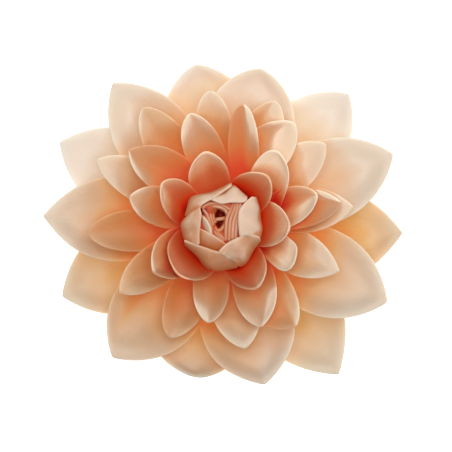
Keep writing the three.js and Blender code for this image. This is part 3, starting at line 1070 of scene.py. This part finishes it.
def finished(mesh: bpy.types.Mesh, name: str, thickness: float, thinning: float = 0.0) -> bpy.types.Object:
    """Gives a middle surface its thickness and smooths it.

    Args:
        mesh: The middle surface.
        name: The new object's name.
        thickness: Its thickness in metres.
        thinning: How much thinner it is at its two sides, as a share.

    Returns:
        An object with a plain mesh and no modifiers.
    """
    thing = placed(name, mesh)
    across = np.zeros(len(mesh.vertices))
    for loop in mesh.loops:
        across[loop.vertex_index] = abs(2 * mesh.uv_layers[0].data[loop.index].uv[1] - 1)
    body = thing.vertex_groups.new(name="body")
    for index, share in enumerate(across):
        body.add([index], 1 - thinning * float(share) ** 3, "REPLACE")
    wall = thing.modifiers.new("wall", "SOLIDIFY")
    wall.thickness = thickness
    wall.offset = 0
    wall.vertex_group = body.name
    soften = thing.modifiers.new("soften", "SUBSURF")
    soften.levels = 1
    soften.render_levels = 1
    solid = plain_mesh(thing, name)
    thing.modifiers.clear()
    thing.data = solid
    solid.polygons.foreach_set("use_smooth", [True] * len(solid.polygons))
    return thing


def joined(things: Sequence[bpy.types.Object], name: str) -> bpy.types.Object:
    """Joins objects of plain meshes into one.

    Args:
        things: The objects.
        name: The result's name.

    Returns:
        The joined object.
    """
    with bpy.context.temp_override(active_object=things[0], selected_editable_objects=list(things)):
        bpy.ops.object.join()
    things[0].name = name
    things[0].data.name = name
    return things[0]


def turned_mesh(
    name: str, profile: Sequence[Pair], sides: int, ribs: int = 0, rib_depth: float = 0.0
) -> bpy.types.Mesh:
    """A body turned about Z, closed at both poles.

    Args:
        name: The mesh's name.
        profile: Radii and heights in millimetres, from the lowest ring to the highest one.
        sides: Steps round the axis.
        ribs: How many ribs run up it.
        rib_depth: Their depth as a share of the radius.

    Returns:
        The mesh, with a UV map that runs up and round it.
    """
    made = bmesh.new()
    uv = made.loops.layers.uv.new("UVMap")
    low = made.verts.new((0, 0, profile[0][1] * MM))
    high = made.verts.new((0, 0, profile[-1][1] * MM))
    rings = []
    for radius, height in profile:
        ring = []
        for k in range(sides):
            turn = 2 * math.pi * k / sides
            swell = radius * MM * (1 + rib_depth * math.cos(ribs * turn))
            ring.append(made.verts.new((swell * math.cos(turn), swell * math.sin(turn), height * MM)))
        rings.append(ring)
    for k in range(sides):
        after = (k + 1) % sides
        made.faces.new((low, rings[0][after], rings[0][k]))
        made.faces.new((high, rings[-1][k], rings[-1][after]))
        for below, above in zip(rings, rings[1:]):
            made.faces.new((below[k], below[after], above[after], above[k]))
    span = profile[-1][1] - profile[0][1]
    for face in made.faces:
        face.smooth = True
        for loop in face.loops:
            where = loop.vert.co
            loop[uv].uv = ((where.z / MM - profile[0][1]) / span, math.atan2(where.y, where.x) / (2 * math.pi) + 0.5)
    bmesh.ops.recalc_face_normals(made, faces=made.faces)
    mesh = bpy.data.meshes.new(name)
    made.to_mesh(mesh)
    made.free()
    return mesh


@dataclass
class Openness:
    """Measures how open each point of the flower is to the light above it.

    Rays leave a point at start above it and find what lies within reach. Their directions lean upright from the
    surface's own normal towards the zenith, and a hit counts by its distance to the power of nearness. The lamp
    gives lamp_share of the light and the sky the rest. The materials paint what it measures as shade and glow.
    Petals that turn their back to +Y get more painted glow, by the share through of how far they turn, as if light
    came through them from +Y, and those that face +Y get less painted glow or painted shade, by facing_shade.
    """

    surfaces: list[bpy.types.Mesh]
    rays: int = 48
    reach: float = 45 * MM
    start: float = 0.9 * MM
    upright: float = 0.75
    nearness: float = 0.7
    passes: int = 4
    lamp_rays: int = 16
    lamp_share: float = 0.5
    through: float = 0.42
    facing_shade: float = 0.37
    shade_limits: Pair = (-0.25, 1.5)
    tree: BVHTree = field(init=False)

    def __post_init__(self) -> None:
        """Gathers the surfaces into one search tree."""
        points: list[Vector] = []
        faces: list[list[int]] = []
        for mesh in self.surfaces:
            base = len(points)
            points += [vertex.co.copy() for vertex in mesh.vertices]
            faces += [[base + index for index in polygon.vertices] for polygon in mesh.polygons]
        self.tree = BVHTree.FromPolygons(points, faces)

    @staticmethod
    def _disc(count: int) -> list[Pair]:
        """Even points of a disc.

        Args:
            count: How many.

        Returns:
            The points, on a spiral out to radius 1.
        """
        spiral = math.pi * (3 - math.sqrt(5))
        polar = [(math.sqrt((k + 0.5) / count), k * spiral) for k in range(count)]
        return [(radius * math.cos(turn), radius * math.sin(turn)) for radius, turn in polar]

    def _sky_directions(self) -> list[Vector]:
        """Even directions over the upper half, weighted to the zenith."""
        return [Vector((x, y, math.sqrt(1 - x * x - y * y))) for x, y in self._disc(self.rays)]

    def _lamp_directions(self) -> list[Vector]:
        """Directions to points spread over the lamp."""
        spots = [Vector(LAMP_PLACE) + LAMP_WIDTH / 2 * Vector((x, y, 0)) for x, y in self._disc(self.lamp_rays)]
        return [spot.normalized() for spot in spots]

    def _smoothed(self, mesh: bpy.types.Mesh, shares: np.ndarray) -> np.ndarray:
        """Evens out a share over the mesh.

        Args:
            mesh: The mesh.
            shares: A share for each of its points.

        Returns:
            The evened shares.
        """
        ends = np.array([edge.vertices[:] for edge in mesh.edges])
        for _ in range(self.passes):
            total = shares.copy()
            count = np.ones(len(shares))
            for one, other in ((0, 1), (1, 0)):
                np.add.at(total, ends[:, one], shares[ends[:, other]])
                np.add.at(count, ends[:, one], 1)
            shares = total / count
        return shares

    def measure(self, mesh: bpy.types.Mesh, warmth: float = 0.0, backlit: bool = False) -> None:
        """Writes the attributes open, 0 for closed in to 1 for free, and shade, the share of the light that is hidden.

        The materials paint both into the colours as shade and glow.

        Args:
            mesh: One of the surfaces.
            warmth: How much deeper the colour of a surface without its own paleness is to be, partly its own tone and
            partly painted shade.
            backlit: Whether to paint more glow where the surface turns its back to +Y, as light that comes through,
            and less glow or painted shade where it faces +Y.
        """
        sky_directions = self._sky_directions()
        lamp_directions = self._lamp_directions()
        shares = np.zeros(len(mesh.vertices))
        lit = np.zeros(len(mesh.vertices))
        for vertex in mesh.vertices:
            normal = vertex.normal if vertex.normal.z >= 0 else -vertex.normal
            facing = (normal * (1 - self.upright) + Vector((0, 0, self.upright))).normalized()
            turn = Vector((0, 0, 1)).rotation_difference(facing)
            origin = vertex.co + facing * self.start
            clear = 0.0
            for way in sky_directions:
                hit = self.tree.ray_cast(origin, turn @ way, self.reach)
                clear += 1.0 if hit[0] is None else min(hit[3] / self.reach, 1.0) ** self.nearness
            shares[vertex.index] = clear / self.rays
            free = [self.tree.ray_cast(origin, way, self.reach)[0] is None for way in lamp_directions]
            lit[vertex.index] = sum(free) / self.lamp_rays
        shares = self._smoothed(mesh, shares)
        lit = self._smoothed(mesh, lit)
        attribute = mesh.attributes.get(OPEN)
        if attribute:
            own = np.array([item.value for item in attribute.data])
        else:
            attribute = mesh.attributes.new(OPEN, "FLOAT", "POINT")
            own = np.full(len(shares), 1 - OPEN_SHARE - warmth)
        attribute.data.foreach_set("value", (shares * OPEN_SHARE + own).astype(np.float32))
        shade = mesh.attributes.new(SHADE, "FLOAT", "POINT")
        reached = shares * (1 - self.lamp_share) + lit * self.lamp_share
        # Painted glow on surfaces turned away from +Y and painted shade on those facing it.
        if backlit:
            turned = np.array([math.copysign(1, vertex.normal.z) * vertex.normal.y for vertex in mesh.vertices])
            reached += np.where(turned < 0, self.through, self.facing_shade) * turned
        shade.data.foreach_set("value", np.clip(1 - reached, *self.shade_limits).astype(np.float32))


# The flower's parts


@dataclass
class Sheet:
    """A sheet of the bud, in millimetres: it hangs from its rim over its belly and tucks in below.

    fold is 0 for a straight fall and 1 for a quarter ellipse. Each ridge is a place along the sheet, from 0 to 1,
    and how far it stands out there. A sheet with no belly stands as a thin strip, its foot lean inside its rim.
    warmth deepens the colour, partly the sheet's own tone and partly painted shade and light.
    """

    rim: list[Triple]
    belly: list[Triple] = field(default_factory=list)
    fold: float = 0.5
    lean: float = 0.8
    warmth: float = 0
    ridges: tuple[Pair, ...] = ()


FOLDED_SHEETS: list[Sheet] = [
    Sheet(fold=0.45, warmth=0.06, ridges=((0.5, 0.4), (0.75, -0.3)),
          rim=[(-12.4, -4.9, 36.5), (-8.8, -6.2, 37.5), (-4.9, -7.4, 38.3), (-1, -8.7, 38.6), (3, -8.8, 38)],
          belly=[(-12.2, -6.3, 32.5), (-8.3, -10, 31), (-4.6, -14.6, 30), (0.5, -14.9, 30), (5.2, -14, 31)]),
    Sheet(fold=0.6, warmth=0.02, ridges=((0.28, -0.15), (0.48, 0.8), (0.72, -0.45)),
          rim=[(-1.3, -8.6, 39), (1.4, -6, 39.4), (4.5, -4.2, 39.6), (8.8, -2.9, 39.2), (12.4, -3.9, 37.6)],
          belly=[(3.9, -12.2, 33.5), (5.8, -13.6, 31.5), (8, -12.4, 31), (10.6, -7.9, 31.5), (12.8, -4.9, 33)]),
    Sheet(fold=1, warmth=-0.05, ridges=((0.3, 0.4), (0.55, -0.3), (0.75, 0.3)),
          rim=[(9.8, 9.3, 38.8), (7.5, 7.4, 39.6), (5.6, 4.9, 40.2), (5.2, 1, 40.2), (5.6, -3.8, 39.4)],
          belly=[(11.1, 9.2, 33), (12.1, 5.9, 32), (12.6, 2, 31), (13.1, -1.3, 31), (12.5, -4.5, 32)]),
    Sheet(fold=0.9, warmth=-0.09, ridges=((0.35, -0.35), (0.6, 0.4)),
          rim=[(-3.6, 8.2, 39.3), (-0.3, 6.9, 39.6), (2.9, 7.2, 39.6), (6.9, 7.2, 39.2), (8.3, 8.2, 38.6)],
          belly=[(-3.3, 9, 36.5), (0.2, 10.8, 34), (3.3, 13, 33), (6.2, 10.9, 33), (8.4, 8.9, 33)]),
    Sheet(fold=0.7, warmth=0.02, ridges=((0.3, 0.3), (0.5, -0.4)),
          rim=[(-7, 2.5, 38), (-6.8, 5.9, 38.6), (-4.9, 7.5, 39), (-2.5, 8.8, 39), (3.3, 12.9, 38)],
          belly=[(-12.1, 2.9, 33), (-11.1, 6.2, 33), (-9.8, 9.3, 33), (-3.6, 10.6, 33.5), (3.3, 13.8, 34)]),
    Sheet(fold=0.75, warmth=0.04, ridges=((0.35, 0.4), (0.6, -0.4)),
          rim=[(-7.2, 5.9, 39.3), (-6.5, 3.3, 39.6), (-6.9, 0, 39.2), (-7.2, -3.3, 38.5), (-7.2, -6.4, 37.6)],
          belly=[(-10.5, 3.6, 36), (-13.1, 0.8, 33), (-13.1, -1.6, 32), (-12.4, -4.3, 32.5), (-11.1, -6.9, 33)]),
    Sheet(fold=0.5, warmth=-0.15,
          rim=[(-6.46, 3.23, 38), (-5.05, 1.97, 38.5), (-4.09, 0.32, 38.7), (-3.48, -1.49, 38.7),
               (-3.18, -3.3, 38.4)],
          belly=[(-6.79, 2.42, 36.4), (-6.55, 0.62, 35.8), (-5.89, -1.04, 35.6), (-4.99, -2.39, 35.8),
                 (-4, -3.9, 36)]),
    Sheet(fold=0.3, warmth=0.03, ridges=((0.35, 0.3),),
          rim=[(-7.31, -0.89, 37.9), (-5.05, -1.94, 38.3), (-2.7, -3.23, 38.5), (-0.54, -4.65, 38.5),
               (1.72, -6.45, 38.2)],
          belly=[(-7.61, -6.3, 35.4), (-5.8, -7.66, 35), (-3.7, -9.01, 34.6), (-1.44, -10.22, 34.4),
                 (1.87, -9.61, 35)]),
]
STANDING_STRIPS: list[Sheet] = [
    Sheet(lean=0.9, warmth=0.07,
          rim=[(4, 7.4, 37.6), (3, 5, 37.7), (1.75, 2.1, 37.6), (1.4, -2, 37.4), (1.3, -5.4, 37)]),
    Sheet(lean=0.9, warmth=0.05,
          rim=[(4.8, 7.4, 38), (3.9, 4.6, 38.1), (2.85, 1.5, 38), (2.55, -2, 37.8), (2.4, -5.4, 37.4)]),
    Sheet(lean=0.9, warmth=-0.03,
          rim=[(5.5, 7.4, 38.3), (4.8, 4, 38.4), (3.95, 1, 38.3), (3.65, -2, 38.1), (3.5, -5, 37.7)]),
    Sheet(lean=0.9, warmth=-0.05,
          rim=[(6.2, 7.3, 38.6), (5.7, 4, 38.7), (5, 1, 38.6), (4.75, -2, 38.4), (4.6, -4.6, 38)]),
    Sheet(lean=0.8, warmth=0.08, rim=[(-6.9, 5.7, 37.3), (-3.8, 7.1, 37.6), (-0.2, 6.8, 37.8), (2.9, 4.9, 37.8)]),
    Sheet(lean=0.8,
          rim=[(-6.67, 5.13, 36.9), (-3.85, 6.21, 37.2), (-0.84, 6.03, 37.3), (1.12, 5.07, 37.2), (1.93, 3.63, 37),
               (2.11, 2.12, 36.7)]),
    Sheet(lean=0.8, warmth=0.08,
          rim=[(-6.25, 5.19, 37.3), (-5.05, 3.69, 37.4), (-4.33, 1.82, 37.3), (-3.73, -0.14, 37.1),
               (-3.18, -2.09, 36.7)]),
    Sheet(lean=0.8, warmth=0.1,
          rim=[(-4.87, 5.25, 36.9), (-3.97, 3.63, 36.9), (-3.42, 1.82, 36.8), (-2.88, -0.29, 36.3)]),
    Sheet(lean=0.6, warmth=0.1,
          rim=[(-3.3, 5.19, 36.2), (-3.12, 3.63, 36.2), (-2.76, 1.82, 36.1), (-2.28, 0.47, 35.7)]),
    Sheet(lean=0, rim=[(-2.4, 1.7, 34.9), (-0.6, 2, 35.1), (1.3, 2.3, 34.9)]),
    Sheet(lean=0.6, warmth=0.1, rim=[(-2.5, -0.6, 35.7), (-1.7, -1.8, 35.9), (-0.2, -1.5, 36), (1.3, 0.5, 36)]),
    Sheet(lean=0.6, warmth=0.1, rim=[(-2.7, -1.8, 36.2), (-1.8, -3, 36.6), (-0.7, -4.2, 36.9), (0.6, -5.6, 37.1)]),
    Sheet(lean=0.6, warmth=0.1, rim=[(-1.6, -2.3, 36.2), (-0.9, -3.1, 36.6), (0.1, -4.1, 36.9), (1, -5.2, 37)]),
]


def smooth_curve(points: Sequence[Triple], shares: np.ndarray) -> np.ndarray:
    """A smooth curve through points.

    Args:
        points: The points.
        shares: Where to read the curve, from 0 to 1.

    Returns:
        The curve's points.
    """
    fixed = np.array(points, float)
    spans = len(fixed) - 1
    padded = np.vstack([2 * fixed[0] - fixed[1], fixed, 2 * fixed[-1] - fixed[-2]])
    place = np.clip(shares * spans, 0, spans - 1e-9)
    index = place.astype(int)
    t = (place - index)[:, None]
    a, b, c, d = (padded[index + k] for k in range(4))
    return 0.5 * (2 * b + (c - a) * t + (2 * a - 5 * b + 4 * c - d) * t**2 + (3 * b - a - 3 * c + d) * t**3)


@dataclass
class Bud:
    """The folded bud: outer sheets over an open hollow with thin strips in it. Plain numbers are millimetres.

    Below its belly a sheet tucks in to tuck_share of its distance from the axis, tuck_drop lower. The nest closes
    the hollow round a pit; its profile gives heights by the way from the pit's edge, 0, to the nest's rim, 1, and
    inside the pit below 0. The shades are painted shade: how much deeper the colours of the nest, of its pit and of
    a pocket beside the pit are. strip_warmth deepens all strips, partly their own tone and partly painted shade.
    """

    finish: PetalFinish
    stations: int = 21
    fold_steps: int = 8
    tuck_steps: int = 4
    tuck_share: float = 0.62
    tuck_drop: float = 8
    ridge_width: float = 0.09
    ridge_rise: float = 0.6
    ridge_crowding: float = 0.8
    thickness: float = 0.85 * MM
    strip_rows: int = 7
    strip_thickness: float = 1.25 * MM
    strip_warmth: float = -0.05
    hollow_centre: Pair = (-1, 1)
    hollow_floor: float = 29
    pit_centre: Pair = (-0.45, 2.2)
    pit_size: Pair = (2, 3.5)
    pit_margin: float = 1.02
    pit_shade: float = 0.45
    pocket_centre: Pair = (-5.7, 4.4)
    pocket_size: Pair = (1.9, 1.7)
    pocket_shade: float = 0.4
    nest_centre: Pair = (-0.5, -0.3)
    nest_radius: float = 9.6
    nest_sides: int = 48
    nest_profile: tuple[Pair, ...] = (
        (-0.98, 30.3), (-0.3, 30.4), (-0.15, 31.5), (-0.08, 33), (0, 33.8), (0.06, 35.1), (0.15, 36.2), (0.3, 36.8),
        (0.5, 37), (0.68, 36.8), (0.85, 35.2), (1, 33),
    )
    nest_tilt: Pair = (0.04, 0.2)
    nest_shade: float = 0.15

    def folded(self, sheet: Sheet) -> Grid:
        """A folded sheet's middle surface.

        Args:
            sheet: The sheet.

        Returns:
            Its points in metres, station by station from the rim to the foot.
        """
        shares = np.linspace(0, 1, self.stations)
        rim = smooth_curve(sheet.rim, shares)[:, None]
        belly = smooth_curve(sheet.belly, shares)[:, None]
        straight = np.linspace(0, 1, self.fold_steps)[None, :, None]
        t = straight * math.pi / 2
        across = sheet.fold * np.sin(t) + (1 - sheet.fold) * straight
        down = sheet.fold * (1 - np.cos(t)) + (1 - sheet.fold) * straight
        face = rim + (belly - rim) * across
        face[..., 2:] = rim[..., 2:] + (belly - rim)[..., 2:] * down
        outward = belly * [1, 1, 0] / np.linalg.norm(belly[..., :2], axis=2)[..., None] + [0, 0, self.ridge_rise]
        for place, height in sheet.ridges:
            swell = height * np.exp(-(((shares - place) / self.ridge_width) ** 2))[:, None, None]
            face = face + outward * swell * np.sin(math.pi * straight**self.ridge_crowding)
        foot = belly * [self.tuck_share, self.tuck_share, 1] - [0, 0, self.tuck_drop]
        k = np.linspace(0, 1, self.tuck_steps + 1)[None, 1:, None] * math.pi / 2
        tuck = belly + (foot - belly) * (1 - np.cos(k))
        tuck[..., 2:] = belly[..., 2:] + (foot - belly)[..., 2:] * np.sin(k)
        return np.concatenate([face, tuck], axis=1) * MM

    def standing(self, strip: Sheet) -> Grid:
        """A standing strip's middle surface.

        Args:
            strip: The strip.

        Returns:
            Its points in metres, station by station from the rim to the foot.
        """
        rim = smooth_curve(strip.rim, np.linspace(0, 1, self.stations))
        away = rim[:, :2] - np.array(self.hollow_centre)
        away /= np.linalg.norm(away, axis=1)[:, None]
        foot = rim.copy()
        foot[:, :2] -= away * strip.lean
        foot[:, 2] = self.hollow_floor
        t = np.linspace(0, 1, self.strip_rows)[None, :, None]
        return (rim[:, None] * (1 - t) + foot[:, None] * t) * MM

    def nest(self) -> Grid:
        """The tissue that closes the hollow round its pit; shade_pit paints the hollow's shade onto it.

        Returns:
            Its points in metres, side by side from the pit to the outside. The last side meets the first.
        """
        turn = np.linspace(0, 2 * math.pi, self.nest_sides + 1)
        ways = np.stack([np.cos(turn), np.sin(turn)], axis=1)
        pit = np.array(self.pit_centre) + ways * self.pit_size
        rim = np.array(self.nest_centre) + ways * self.nest_radius
        rows = []
        for share, height in self.nest_profile:
            plan = pit + (rim - pit) * share if share > 0 else pit + (pit - self.pit_centre) * share
            slope = self.nest_tilt[0] * plan[:, 0] + self.nest_tilt[1] * np.minimum(plan[:, 1], 0)
            rows.append(np.column_stack([plan, height + slope * (share > 0)]))
        return np.stack(rows, axis=1) * MM

    def shade_pit(self, mesh: bpy.types.Mesh) -> None:
        """Paints shade into the nest's own share of openness: deeper all over, deepest in its pit and deeper in a
        pocket beside the pit.

        Args:
            mesh: The nest.
        """
        plan = np.array([vertex.co[:2] for vertex in mesh.vertices]) / MM
        inside = np.linalg.norm((plan - self.pit_centre) / self.pit_size, axis=1) < self.pit_margin
        pocket = np.exp(-np.sum(((plan - self.pocket_centre) / self.pocket_size) ** 2, axis=1))
        # Painted shade of the hollow: the nest as a whole, its pit and the pocket beside it.
        own = 1 - OPEN_SHARE - self.nest_shade - np.where(inside, self.pit_shade, self.pocket_shade * pocket)
        mesh.attributes.new(OPEN, "FLOAT", "POINT").data.foreach_set("value", own.astype(np.float32))

    def surfaces(self) -> tuple[list[bpy.types.Mesh], list[bpy.types.Mesh], bpy.types.Mesh]:
        """Forms the bud.

        Returns:
            The middle surfaces of the outer sheets, of the inner strips and of the nest under them.
        """
        tissue = self.finish.make()
        sheets = [grid_mesh("bud_sheet", self.folded(sheet), tissue) for sheet in FOLDED_SHEETS]
        strips = [grid_mesh("bud_strip", self.standing(strip), tissue) for strip in STANDING_STRIPS]
        nest = closed_mesh(grid_mesh("bud_nest", self.nest(), tissue))
        self.shade_pit(nest)
        return sheets, strips, nest


# Colours of each layer by how open a place is; the low stops paint the shade in the depth of the flower.
PETAL_FINISHES: dict[Layer, PetalFinish] = {
    Layer.GROUND: PetalFinish("ground_petal_tissue", rim_share=0.03, glow=0.55, stops=(
        (0.42, (206, 144, 64)), (0.55, (206, 163, 96)), (0.64, (210, 180, 133)), (0.73, (211, 184, 148)),
        (0.79, (211, 190, 159)), (0.86, (212, 198, 172)), (0.92, (215, 203, 185)), (1.0, (219, 213, 202)))),
    Layer.BROAD: PetalFinish("broad_petal_tissue", rim_share=0.03, glow=0.48, stops=(
        (0.48, (216, 134, 66)), (0.57, (213, 146, 84)), (0.67, (211, 161, 106)), (0.73, (212, 171, 123)),
        (0.79, (211, 175, 137)), (0.86, (212, 183, 150)), (0.93, (214, 192, 166)), (1.0, (219, 206, 187)))),
    Layer.OUTER: PetalFinish("outer_petal_tissue", rim_share=0.03, glow=0.4, stops=(
        (0.33, (212, 100, 48)), (0.45, (211, 119, 58)), (0.58, (206, 127, 69)), (0.7, (202, 138, 83)),
        (0.79, (204, 151, 103)), (0.86, (212, 171, 127)), (0.94, (215, 183, 149)), (1.0, (224, 204, 178)))),
    Layer.MIDDLE: PetalFinish("middle_petal_tissue", rim_share=0.04, glow=0.4, stops=(
        (0.28, (206, 79, 44)), (0.45, (206, 100, 55)), (0.6, (206, 121, 68)), (0.7, (205, 129, 77)),
        (0.79, (203, 142, 93)), (0.87, (200, 150, 109)), (0.93, (208, 166, 131)), (1.0, (234, 214, 188)))),
    Layer.INNER: PetalFinish("inner_petal_tissue", rim_share=0.06, glow=0.4, stops=(
        (0.35, (178, 18, 8)), (0.5, (184, 44, 17)), (0.6, (189, 70, 33)), (0.67, (197, 94, 51)),
        (0.76, (204, 130, 80)), (0.86, (209, 150, 106)), (0.94, (222, 184, 144)), (1.0, (231, 211, 183)))),
    Layer.COLLAR: PetalFinish("collar_petal_tissue", rim_share=0.05, glow=0.4, stops=(
        (0.33, (156, 6, 2)), (0.45, (196, 41, 8)), (0.55, (198, 66, 24)), (0.66, (193, 86, 45)),
        (0.73, (196, 97, 56)), (0.79, (201, 114, 71)), (0.86, (210, 143, 99)), (0.92, (213, 162, 120)),
        (0.98, (228, 188, 154)))),
}
# The bud's colours by how open a place is; the low stops paint the shade of its folds, hollow and pit.
BUD_FINISH = PetalFinish(
    "bud_tissue", vein_count=5, midrib=0, vein_depth=0.3 * MM, tip_share=0, rim_share=0.2, stops=(
        (0.3, (112, 8, 2)), (0.38, (152, 20, 5)), (0.47, (190, 60, 26)), (0.56, (188, 80, 32)),
        (0.68, (187, 100, 50)), (0.79, (192, 115, 62)), (0.86, (196, 125, 83)), (0.92, (201, 140, 99)),
        (0.96, (207, 156, 119)), (1.0, (219, 190, 165))))


@dataclass
class FlowerHead:
    """Everything that grows from the receptacle: six layers of petals and the bud."""

    finishes: dict[Layer, PetalFinish] = field(default_factory=lambda: PETAL_FINISHES)
    bud: Bud = field(default_factory=lambda: Bud(BUD_FINISH))
    rim_thinning: float = 0.6
    dome_sides: int = 64
    dome: tuple[Pair, ...] = (
        (4, 6), (9.4, 6), (10.6, 7.4), (11, 9), (11, 15), (10.2, 19), (9, 22), (9, 29.4), (4, 29.8),
    )

    def layers(self, tissues: dict[Layer, bpy.types.Material]) -> dict[Layer, list[bpy.types.Mesh]]:
        """Forms the petals.

        Args:
            tissues: Each layer's material.

        Returns:
            Their middle surfaces, by layer.
        """
        tree = PetalTree()
        return {
            layer: [tree.apply(petal, 7.0 * k + 0.37 * petal.azimuth, tissues[layer]) for k, petal in enumerate(row)]
            for layer, row in PETALS.items()
        }

    def build(self) -> list[bpy.types.Object]:
        """Builds and dresses the pieces.

        Returns:
            One piece for each layer, the bud's sheets, its strips, its nest and the receptacle.
        """
        tissues = {layer: self.finishes[layer].make() for layer in PETALS}
        layers = self.layers(tissues)
        sheets, strips, nest = self.bud.surfaces()
        dome = turned_mesh("receptacle", self.dome, self.dome_sides)
        dome.materials.append(tissues[Layer.COLLAR])
        petals = [mesh for row in layers.values() for mesh in row]
        # The measured openness and shade are painted into the colours as shade and glow.
        openness = Openness([*petals, *sheets, *strips, nest, dome], rays=48)
        for mesh in petals:
            openness.measure(mesh, backlit=True)
        for sheet, mesh in zip(FOLDED_SHEETS, sheets):
            openness.measure(mesh, sheet.warmth)
        for strip, mesh in zip(STANDING_STRIPS, strips):
            openness.measure(mesh, self.bud.strip_warmth + strip.warmth)
        for mesh in (nest, dome):
            openness.measure(mesh)

        rows = [
            (f"petals_{layer.name.lower()}", row, layer.value.thickness * MM, self.rim_thinning)
            for layer, row in layers.items()
        ]
        rows += [
            ("bud_sheets", sheets, self.bud.thickness, 0.0), ("bud_strips", strips, self.bud.strip_thickness, 0.0),
            ("bud_nest", [nest], self.bud.thickness, 0.0),
        ]
        pieces = [
            joined([finished(mesh, f"{name}_{k}", thick, thinning) for k, mesh in enumerate(row)], name)
            for name, row, thick, thinning in rows
        ]
        pieces.append(placed("receptacle", dome))
        for piece in pieces:
            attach(piece, ROOT_BODY)
            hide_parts(HEAD_NODE)
        return pieces


@dataclass
class Calyx:
    """The green cup behind the petals with its bracts and the cut end."""

    leaf: LeafFinish = LeafFinish("calyx_tissue", roughness=0.62)
    cut: CutFinish = CutFinish("cut_end_tissue", roughness=0.45)
    bract_count: int = 6
    first_bract: float = 20
    bract_reach: float = 22
    bract_half_width: float = 4.6
    cup: tuple[Pair, ...] = (
        (5.5, 0), (6.4, 0), (6.75, 0.35), (7.1, 1.6), (8.4, 3.0), (10.2, 4.0), (10.4, 4.6), (9.6, 5.6), (5, 5.7),
    )
    cup_sides: int = 96
    ribs: int = 12
    rib_depth: float = 0.012

    def build(self) -> list[bpy.types.Object]:
        """Builds and dresses the pieces.

        Returns:
            The cup and the bracts.
        """
        green = self.leaf.make()
        cut = self.cut.make()
        mesh = turned_mesh("calyx_cup", self.cup, self.cup_sides, self.ribs, self.rib_depth)
        mesh.materials.append(green)
        mesh.materials.append(cut)
        for polygon in mesh.polygons:
            if polygon.normal.z < -0.95 and polygon.center.z < 0.2 * MM:
                polygon.material_index = 1
        cup = placed("calyx_cup", mesh)
        tree = PetalTree()
        things = []
        for k in range(self.bract_count):
            azimuth = self.first_bract + 360 / self.bract_count * k
            bract = Petal(Layer.BRACT, azimuth, self.bract_reach, self.bract_half_width)
            form = tree.apply(bract, 3.0 * k, green)
            things.append(finished(form, f"bract_{k}", Layer.BRACT.value.thickness * MM))
        bracts = joined(things, "bracts")
        for piece in (cup, bracts):
            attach(piece, ROOT_BODY)
            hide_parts(CALYX_NODE)
        return [cup, bracts]


@dataclass
class Studio:
    """The pale floor, the soft light and the camera straight above the flower.

    scale is how many metres a pixel of the photograph covers at scale_height, and axis is the pixel where the
    flower's axis meets it. key and side are the lamps' powers in watts.
    """

    scale: float = 0.34 * MM
    image: int = 452
    axis: Pair = (222, 225)
    eye: float = 0.7
    scale_height: float = 12 * MM
    sensor: float = 36
    floor_size: float = 3.0
    floor_grey: float = 0.9
    floor_glow: float = 0.62
    sky: float = 0.34
    key: float = 6
    side: float = 0.6
    side_place: Triple = (0.3, 0.33, 0.42)
    side_width: float = 0.25

    def floor(self) -> bpy.types.Object:
        """A plain white floor.

        Returns:
            The floor.
        """
        half = self.floor_size / 2
        mesh = bpy.data.meshes.new("floor")
        mesh.from_pydata([(-half, -half, 0), (half, -half, 0), (half, half, 0), (-half, half, 0)], [], [(0, 1, 2, 3)])
        look = Finish("floor_white", roughness=0.9).start()
        grey = (*[self.floor_grey] * 3, 1)
        look.fill({"Base Color": grey, "Emission Color": (1, 1, 1, 1), "Emission Strength": self.floor_glow})
        mesh.materials.append(look.material)
        floor = placed("floor", mesh)
        return floor

    def light(self, name: str, place: Triple, size: float, power: float) -> bpy.types.Object:
        """A square soft light that faces the flower.

        Args:
            name: Its name.
            place: Where it hangs.
            size: Its width.
            power: Its power in watts.

        Returns:
            The light.
        """
        lamp = bpy.data.lights.new(name, "AREA")
        lamp.energy = power
        lamp.size = size
        thing = placed(name, lamp)
        thing.location = place
        thing.rotation_euler = (-Vector(place)).to_track_quat("-Z", "Y").to_euler()
        return thing

    def camera(self) -> bpy.types.Object:
        """The camera, aimed so that the flower's axis lies where the photograph shows it.

        Returns:
            The camera.
        """
        pixels = (self.eye - self.scale_height) / self.scale
        data = bpy.data.cameras.new("camera")
        data.sensor_width = self.sensor
        data.lens = self.sensor * pixels / self.image
        thing = placed("camera", data)
        middle = self.image / 2
        thing.location = ((middle - self.axis[0]) * self.scale, (self.axis[1] - middle) * self.scale, self.eye)
        bpy.context.scene.camera = thing
        return thing

    def build(self) -> None:
        """Sets the stage."""
        self.floor()
        self.light("key", LAMP_PLACE, LAMP_WIDTH, self.key)
        self.light("side", self.side_place, self.side_width, self.side)
        world = bpy.data.worlds.new("sky")
        world.use_nodes = True
        background = world.node_tree.nodes["Background"]
        background.inputs["Color"].default_value = (1, 1, 1, 1)
        background.inputs["Strength"].default_value = self.sky
        scene = bpy.context.scene
        scene.world = world
        scene.view_settings.view_transform = "Standard"
        self.camera()


def main() -> None:
    """Builds the flower and its studio, and reports each piece."""
    logging.basicConfig(level=logging.INFO, format="%(message)s")
    Studio().build()
    for part in (FlowerHead(), Calyx()):
        for piece in part.build():
            triangles = sum(len(polygon.vertices) - 2 for polygon in piece.data.polygons)
            LOG.info("%s: %d triangles", piece.name, triangles)


if __name__ == "__main__":
    main()
